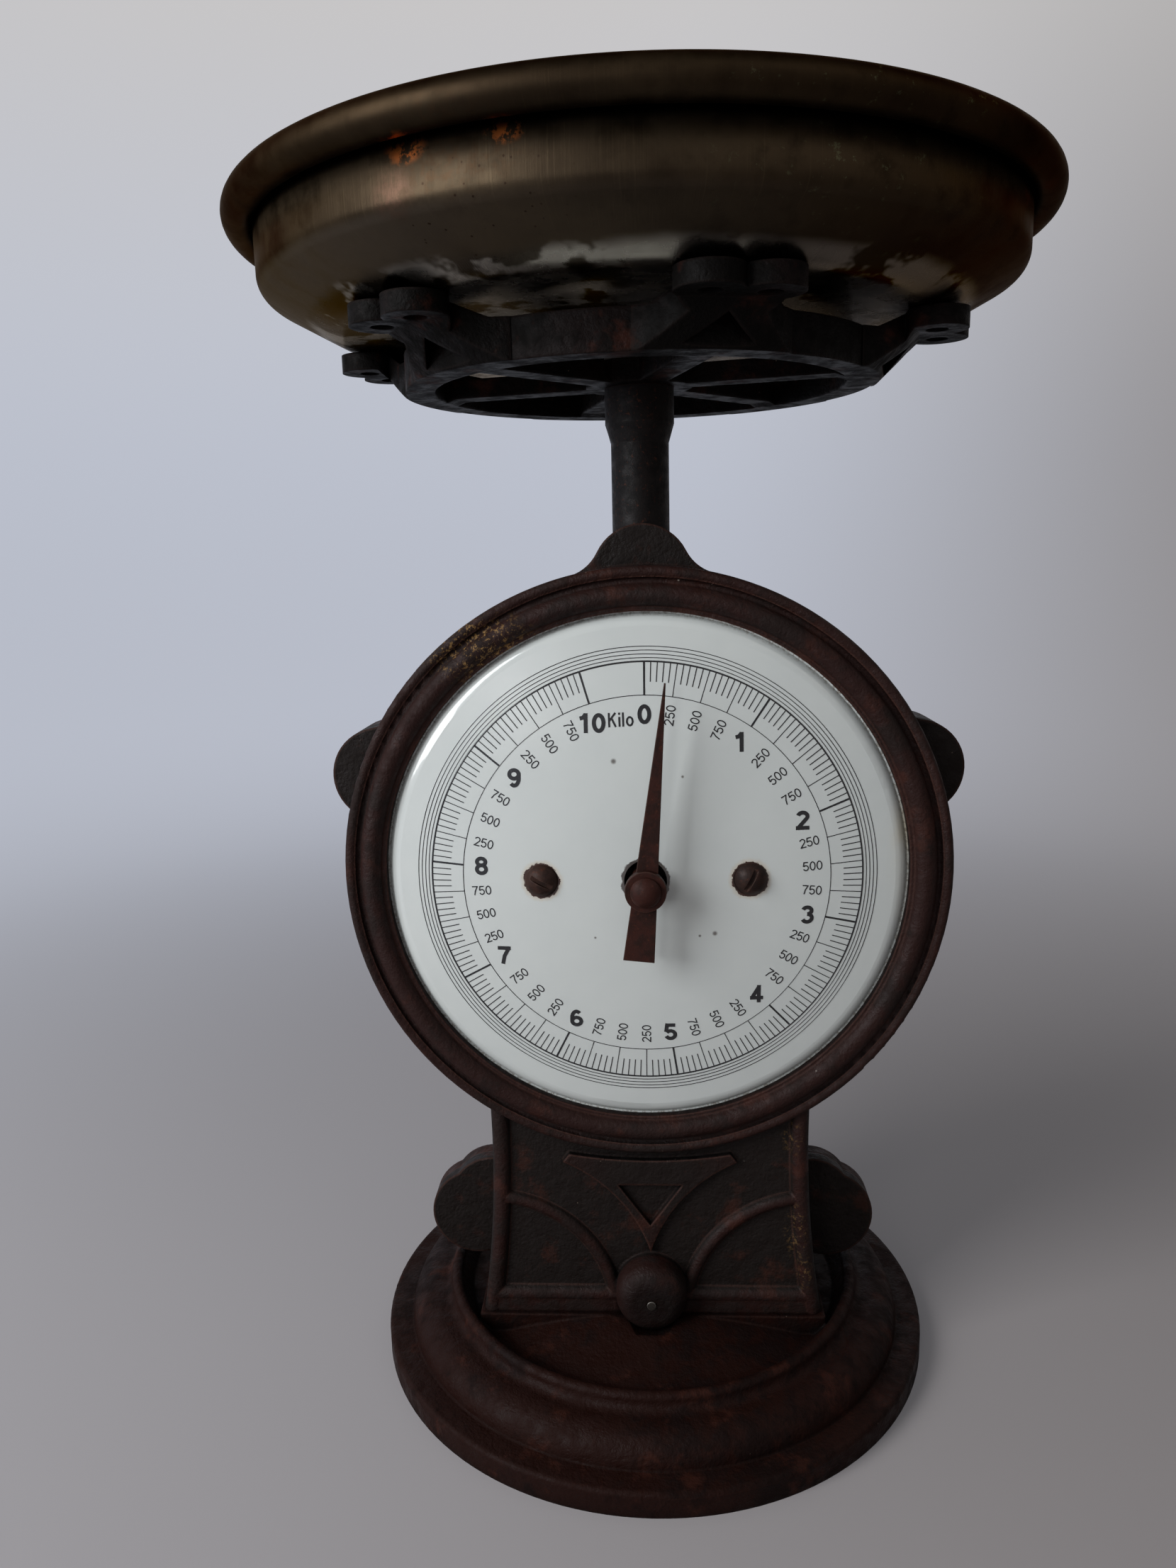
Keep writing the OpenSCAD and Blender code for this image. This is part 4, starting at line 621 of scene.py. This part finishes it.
def joined(name, meshes, ink):
    """One mesh from several, drawn flat round the dial's centre, laid on the dial's domed face."""
    dial = nodes["dial_plate"].data
    face = BVHTree.FromPolygons([v.co for v in dial.vertices], [p.vertices for p in dial.polygons])
    whole = bmesh.new()
    for mesh in meshes:
        whole.from_mesh(mesh)
    bmesh.ops.recalc_face_normals(whole, faces=whole.faces)
    for vert in whole.verts:
        front = vert.co.y < 0
        vert.co.z += dial_z
        vert.co.y = face.ray_cast(Vector((vert.co.x, -0.1, vert.co.z)), Vector((0, 1, 0)))[0].y
        vert.co.y += -PRINT_PROUD * MM if front else PRINT_SUNK * MM
    result = bpy.data.meshes.new(name)
    whole.to_mesh(result)
    whole.free()
    result.materials.append(ink)
    for polygon in result.polygons:
        polygon.material_index = 0
    return result


def scale_lines(ink):
    """The dial's divisions of 50, 250 and 1000 grams and its rings."""
    marks, hoops = mark_tree(), hoop_tree()
    step = math.radians(DEGREES_PER_KILO / STEPS_PER_KILO)
    sets = []
    # Marks in a kilogram, every how many of them belongs to a longer kind (0: none), the inner end, the width
    for per_kilo, skip, inner, width in ((1, 0, INNER_RING_R, KILO_MARK_W), (4, 4, INNER_RING_R, QUARTER_MARK_W),
                                         (20, 5, SHORT_MARK_R, SMALL_MARK_W)):
        stride = STEPS_PER_KILO // per_kilo
        total = STEPS_PER_KILO * KILOS // stride
        if not skip:
            sets.append((total + 1, 0, step * stride, inner, width))
        else:
            for first in range(1, skip):
                sets.append((total // skip, first * step * stride, step * stride * skip, inner, width))
    turned = math.radians(PRINT_TURN)
    meshes = [grown(marks, ink, {"Count": count, "First": first + turned, "Step": every, "Inner": inner * MM,
                                 "Outer": SCALE_RING_R * MM, "Width": width * MM, "Thickness": MM})
              for count, first, every, inner, width in sets]
    rings = [(SCALE_RING_R, SCALE_RING_W)] + [(r, THIN_RING_W) for r in (INNER_RING_R, *FINE_RINGS_R)]
    meshes += [grown(hoops, ink, {"Radius": r * MM, "Width": width * MM, "Thickness": MM})
               for r, width in rings]
    add_piece("dial_divisions", joined("dial_divisions", meshes, ink), "stand")


def bow(x, y, reach_x, reach_y, start=0, end=360):
    """Points along an oval, anticlockwise from the right."""
    count = max(4, round(abs(end - start) / 12))
    angles = (math.radians(start + (end - start) * i / count) for i in range(count + 1))
    return [(x + reach_x * math.cos(a), y + reach_y * math.sin(a)) for a in angles]


def strokes_of(letter, wide, half):
    """The pen strokes of a letter in a box wide across and 1 high, for a pen of half-width half."""
    mid, side, top = wide / 2, wide - half, 1 - half
    bowl = side - mid
    waist = 0.53
    upper = (mid, (top + waist) / 2, bowl * 0.92, (top - waist) / 2)
    lower = (mid, (waist + half) / 2, bowl, (waist - half) / 2)
    six = [bow(mid, 0.32, bowl, 0.32 - half), bow(mid, 0.5, bowl, 0.5 - half, 48, 180) + [(half, 0.32)]]
    return {
        "0": [bow(mid, 0.5, bowl, 0.5 - half)],
        "1": [[(mid + half, 0), (mid + half, 1)], [(mid - 0.2, 0.74), (mid - 0.03, 0.78), (mid + half, 0.95)]],
        "2": [bow(mid, 0.7, bowl, 0.3 - half, 165, -35) + [(half * 1.1, half)], [(0, half), (wide, half)]],
        "3": [bow(*upper, 160, -90), bow(*lower, 90, -160)],
        "4": [[(side - 0.13, 0), (side - 0.13, 1)], [(side - 0.13, top), (half, 0.27)], [(0, 0.27), (wide, 0.27)]],
        "5": [[(0.13, top), (side, top)], [(0.13 + half * 0.4, 1), (half, 0.5)],
              bow(mid, 0.33, bowl, 0.33 - half, 148, -158)],
        "6": six,
        "7": [[(0, top), (wide, top)], [(side, top), (mid, 0.45), (mid - 0.1, 0)]],
        "8": [bow(*upper), bow(*lower)],
        "9": [[(wide - x, 1 - y) for x, y in stroke] for stroke in six],
        "K": [[(half, 0), (half, 1)], [(wide - half, 1), (half, 0.42)], [(mid * 0.85, 0.6), (wide - half, 0)]],
        "i": [[(half, 0), (half, 0.7)], [(half, 0.84), (half, 1)]],
        "l": [[(half, 0), (half, 1)]],
        "o": [bow(mid, 0.36, bowl, 0.36 - half)],
    }[letter]


def add_stroke(shape, points, half):
    """A pen stroke as a thin closed slab: its front at y = -1, its back at y = 1."""
    closed = math.dist(points[0], points[-1]) < 1e-6
    points = [Vector(p) for p in (points[:-1] if closed else points)]
    count = len(points)
    rows = []
    for i, point in enumerate(points):
        before = point - points[i - 1] if closed or i else points[1] - point
        after = points[(i + 1) % count] - point if closed or i < count - 1 else before
        across = (before.normalized() + after.normalized()).normalized().orthogonal()
        across *= half / max(0.4, across.dot(after.normalized().orthogonal()))
        rows.append([shape.verts.new((point.x + s * across.x, depth, point.y + s * across.y))
                     for s, depth in ((1, -1), (-1, -1), (-1, 1), (1, 1))])
    for i in range(count if closed else count - 1):
        one, two = rows[i], rows[(i + 1) % count]
        for k in range(4):
            shape.faces.new((one[k], one[(k + 1) % 4], two[(k + 1) % 4], two[k]))
    if not closed:
        shape.faces.new(rows[0][::-1])
        shape.faces.new(rows[-1])


def lettering(words, height, wide, half, gap, centre, turn=0.0):
    """A mesh of pen-drawn words round their centre on the dial: letters' width, pen's half-width and gap are
    shares of the height, turn is anticlockwise in radians."""
    shape = bmesh.new()
    at = 0.0
    for letter in words:
        across = {"i": 2 * half, "l": 2 * half, "o": wide * 0.9, "1": wide * 0.85}.get(letter, wide)
        for stroke in strokes_of(letter, across, half):
            add_stroke(shape, [(x + at, y) for x, y in stroke], half)
        at += across + gap
    mesh = bpy.data.meshes.new("words")
    shape.to_mesh(mesh)
    shape.free()
    mesh.transform(Matrix.Translation(((gap - at) / 2, 0, -0.5)))
    mesh.transform(Matrix.Translation((centre[0] * MM, 0, centre[1] * MM)) @ Matrix.Rotation(-turn, 4, "Y")
                   @ Matrix.Diagonal((height * MM, MM, height * MM, 1)))
    return mesh


def on_dial(radius, degrees):
    """A place on the dial in millimetres right of and above its centre."""
    return radius * math.sin(math.radians(degrees)), radius * math.cos(math.radians(degrees))


def dial_figures(ink):
    """Kilograms in bold upright figures, and quarter kilograms in small figures along the radius."""
    bold, small = [], []
    for kilo in range(KILOS + 1):
        angle = kilo * DEGREES_PER_KILO + PRINT_TURN + FIGURE_NUDGES[kilo]
        bold.append(lettering(str(kilo), *BOLD_FIGURES, on_dial(BOLD_FIGURES_R, angle)))
        for quarter in (1, 2, 3) if kilo < KILOS else ():
            angle = (kilo + quarter / 4) * DEGREES_PER_KILO + PRINT_TURN
            outward = 90 - angle if angle < 180 else 270 - angle
            small.append(lettering(str(250 * quarter), *SMALL_FIGURES, on_dial(SMALL_FIGURES_R, angle),
                                   math.radians(outward)))
    unit = lettering("Kilo", *UNIT_LETTERS, on_dial(UNIT_R, UNIT_DEGREES), math.radians(1.5))
    for name, meshes in (("dial_kilograms", bold), ("dial_grams", small), ("dial_unit", [unit])):
        add_piece(name, joined(name, meshes, ink), "stand")


def photo_camera():
    """The camera at the place and with the lens that the photograph was taken from."""
    data = bpy.data.cameras.new("photo_camera")
    data.lens = CAMERA_LENS
    camera = bpy.data.objects.new("photo_camera", data)
    bpy.context.scene.collection.objects.link(camera)
    yaw, pitch, roll = CAMERA_TURN
    ahead = Vector((math.sin(yaw) * math.cos(pitch), math.cos(yaw) * math.cos(pitch), math.sin(pitch)))
    right = Vector((math.cos(yaw), -math.sin(yaw), 0))
    up = right.cross(ahead)
    right, up = right * math.cos(roll) + up * math.sin(roll), up * math.cos(roll) - right * math.sin(roll)
    camera.matrix_world = Matrix.Translation(CAMERA_AT) @ Matrix((right, up, -ahead)).transposed().to_4x4()
    bpy.context.scene.camera = camera


def paper_finish():
    """Pale paper, its colour darker to the right as painted shade. Its wall is there for what is seen and mirrored
    only, so that it keeps no light from the object, and glows a little there as painted light, brighter upwards,
    bluish on the left and dimmer on the right."""
    f = Finish("pale_paper")
    x, y, z = f.parts()
    away = f.maths("SQRT", f.sum(f.times(x, x), f.times(y, y)))
    right = f.band(f.sum(x, f.times(y, -0.35)), -0.5, 0.6)
    # Painted shade: the paper's colour darker to the right.
    tone = f.mix(right, colour(178, 174, 176), colour(160, 150, 146))
    shader = f.add("BsdfPrincipled", {"Base Color": tone, "Roughness": 0.9, "Specular IOR Level": 0.1}).outputs[0]
    way = f.add("LightPath").outputs
    mirrored = f.maths("MAXIMUM", way["Is Glossy Ray"], way["Is Transmission Ray"])
    seen = f.maths("MAXIMUM", way["Is Camera Ray"], mirrored)
    # The glow is painted light: brighter upwards, bluish on the left and dimmer on the right.
    up = f.band(z, 350 * MM, 1500 * MM)
    left_glow = f.mix(up, colour(193, 198, 211), colour(206, 202, 198))
    right_glow = f.mix(up, colour(143, 139, 139), colour(196, 194, 192))
    glow = f.add("Emission", {"Color": f.mix(right, left_glow, right_glow)}).outputs[0]
    far = f.sum(f.band(away, 200 * MM, 1150 * MM, 0.12, 0.85), f.band(z, 100 * MM, 700 * MM, 0.0, 0.1))
    shader = f.add("MixShader", {0: f.times(far, seen), 1: shader, 2: glow}).outputs[0]
    clear = f.add("BsdfTransparent").outputs[0]
    floor = f.band(z, 60 * MM, 2 * MM)
    back = f.add("NewGeometry").outputs["Backfacing"]
    solid = f.times(f.maths("MAXIMUM", seen, floor), f.maths("SUBTRACT", 1.0, back))
    mixed = f.add("MixShader", {0: solid, 1: clear, 2: shader})
    f.tree.links.new(mixed.outputs[0], f.add("OutputMaterial").inputs["Surface"])
    return f.material


def studio():
    """A sheet of pale paper, flat under the scale and swept up all round it."""
    flat_r, sweep_r, top = 0.75, 0.8, 2.4
    bends, sides = 24, 96
    profile = [(0.0, 0.0), (flat_r * 0.5, 0.0)]
    profile += [(flat_r + sweep_r * math.sin(a), sweep_r * (1 - math.cos(a)))
                for a in (math.radians(90 * i / bends) for i in range(bends + 1))]
    profile.append((flat_r + sweep_r, top))
    sheet = bmesh.new()
    middle = sheet.verts.new((0, 0, 0))
    rows = [[sheet.verts.new((r * math.cos(2 * math.pi * i / sides), r * math.sin(2 * math.pi * i / sides), h))
             for i in range(sides)] for r, h in profile[1:]]
    for i in range(sides):
        j = (i + 1) % sides
        sheet.faces.new((middle, rows[0][i], rows[0][j]))
        for low, high in zip(rows, rows[1:]):
            sheet.faces.new((low[i], high[i], high[j], low[j]))
    mesh = bpy.data.meshes.new("paper_sweep")
    sheet.to_mesh(mesh)
    sheet.free()
    mesh.shade_smooth()
    mesh.materials.append(paper_finish())
    paper = bpy.data.objects.new("paper_sweep", mesh)
    bpy.context.scene.collection.objects.link(paper)


def lamp(name, at, sides, watts, tint):
    """A soft lamp, aimed at the middle of the scale."""
    data = bpy.data.lights.new(name, "AREA")
    data.shape, data.size, data.size_y = "RECTANGLE", *sides
    data.energy, data.color = watts, tint
    light = bpy.data.objects.new(name, data)
    bpy.context.scene.collection.objects.link(light)
    light.location = at
    light.rotation_euler = (Vector(LAMPS_AIM) - Vector(at)).to_track_quat("-Z", "Y").to_euler()
    light.visible_camera = False


def studio_light():
    """Soft light from two windows at the front left, a weak fill from the right, and a room dimmer to the right."""
    for name, (at, sides, watts, tint) in LAMPS.items():
        lamp(name, at, sides, watts, tint)
    world = bpy.data.worlds.new("room")
    bpy.context.scene.world = world
    world.use_nodes = True
    tree = world.node_tree
    tree.nodes.clear()
    way = wired(tree, "ShaderNodeTexCoord")["Generated"]
    x = wired(tree, "ShaderNodeSeparateXYZ", {0: way})[0]
    strength = wired(tree, "ShaderNodeMapRange", {0: x, 1: -1.0, 2: 1.0, 3: ROOM_LEFT, 4: ROOM_RIGHT})[0]
    sky = wired(tree, "ShaderNodeBackground", {"Color": ROOM_TINT, "Strength": strength})[0]
    wired(tree, "ShaderNodeOutputWorld", {"Surface": sky})
    bpy.context.scene.view_settings.view_transform = "Standard"


photo_camera()
studio()
studio_light()
finish_the_castings()
finish_the_small_pieces()
stretching_springs()
spun_pan()
print_ink = ink_finish()
scale_lines(print_ink)
dial_figures(print_ink)
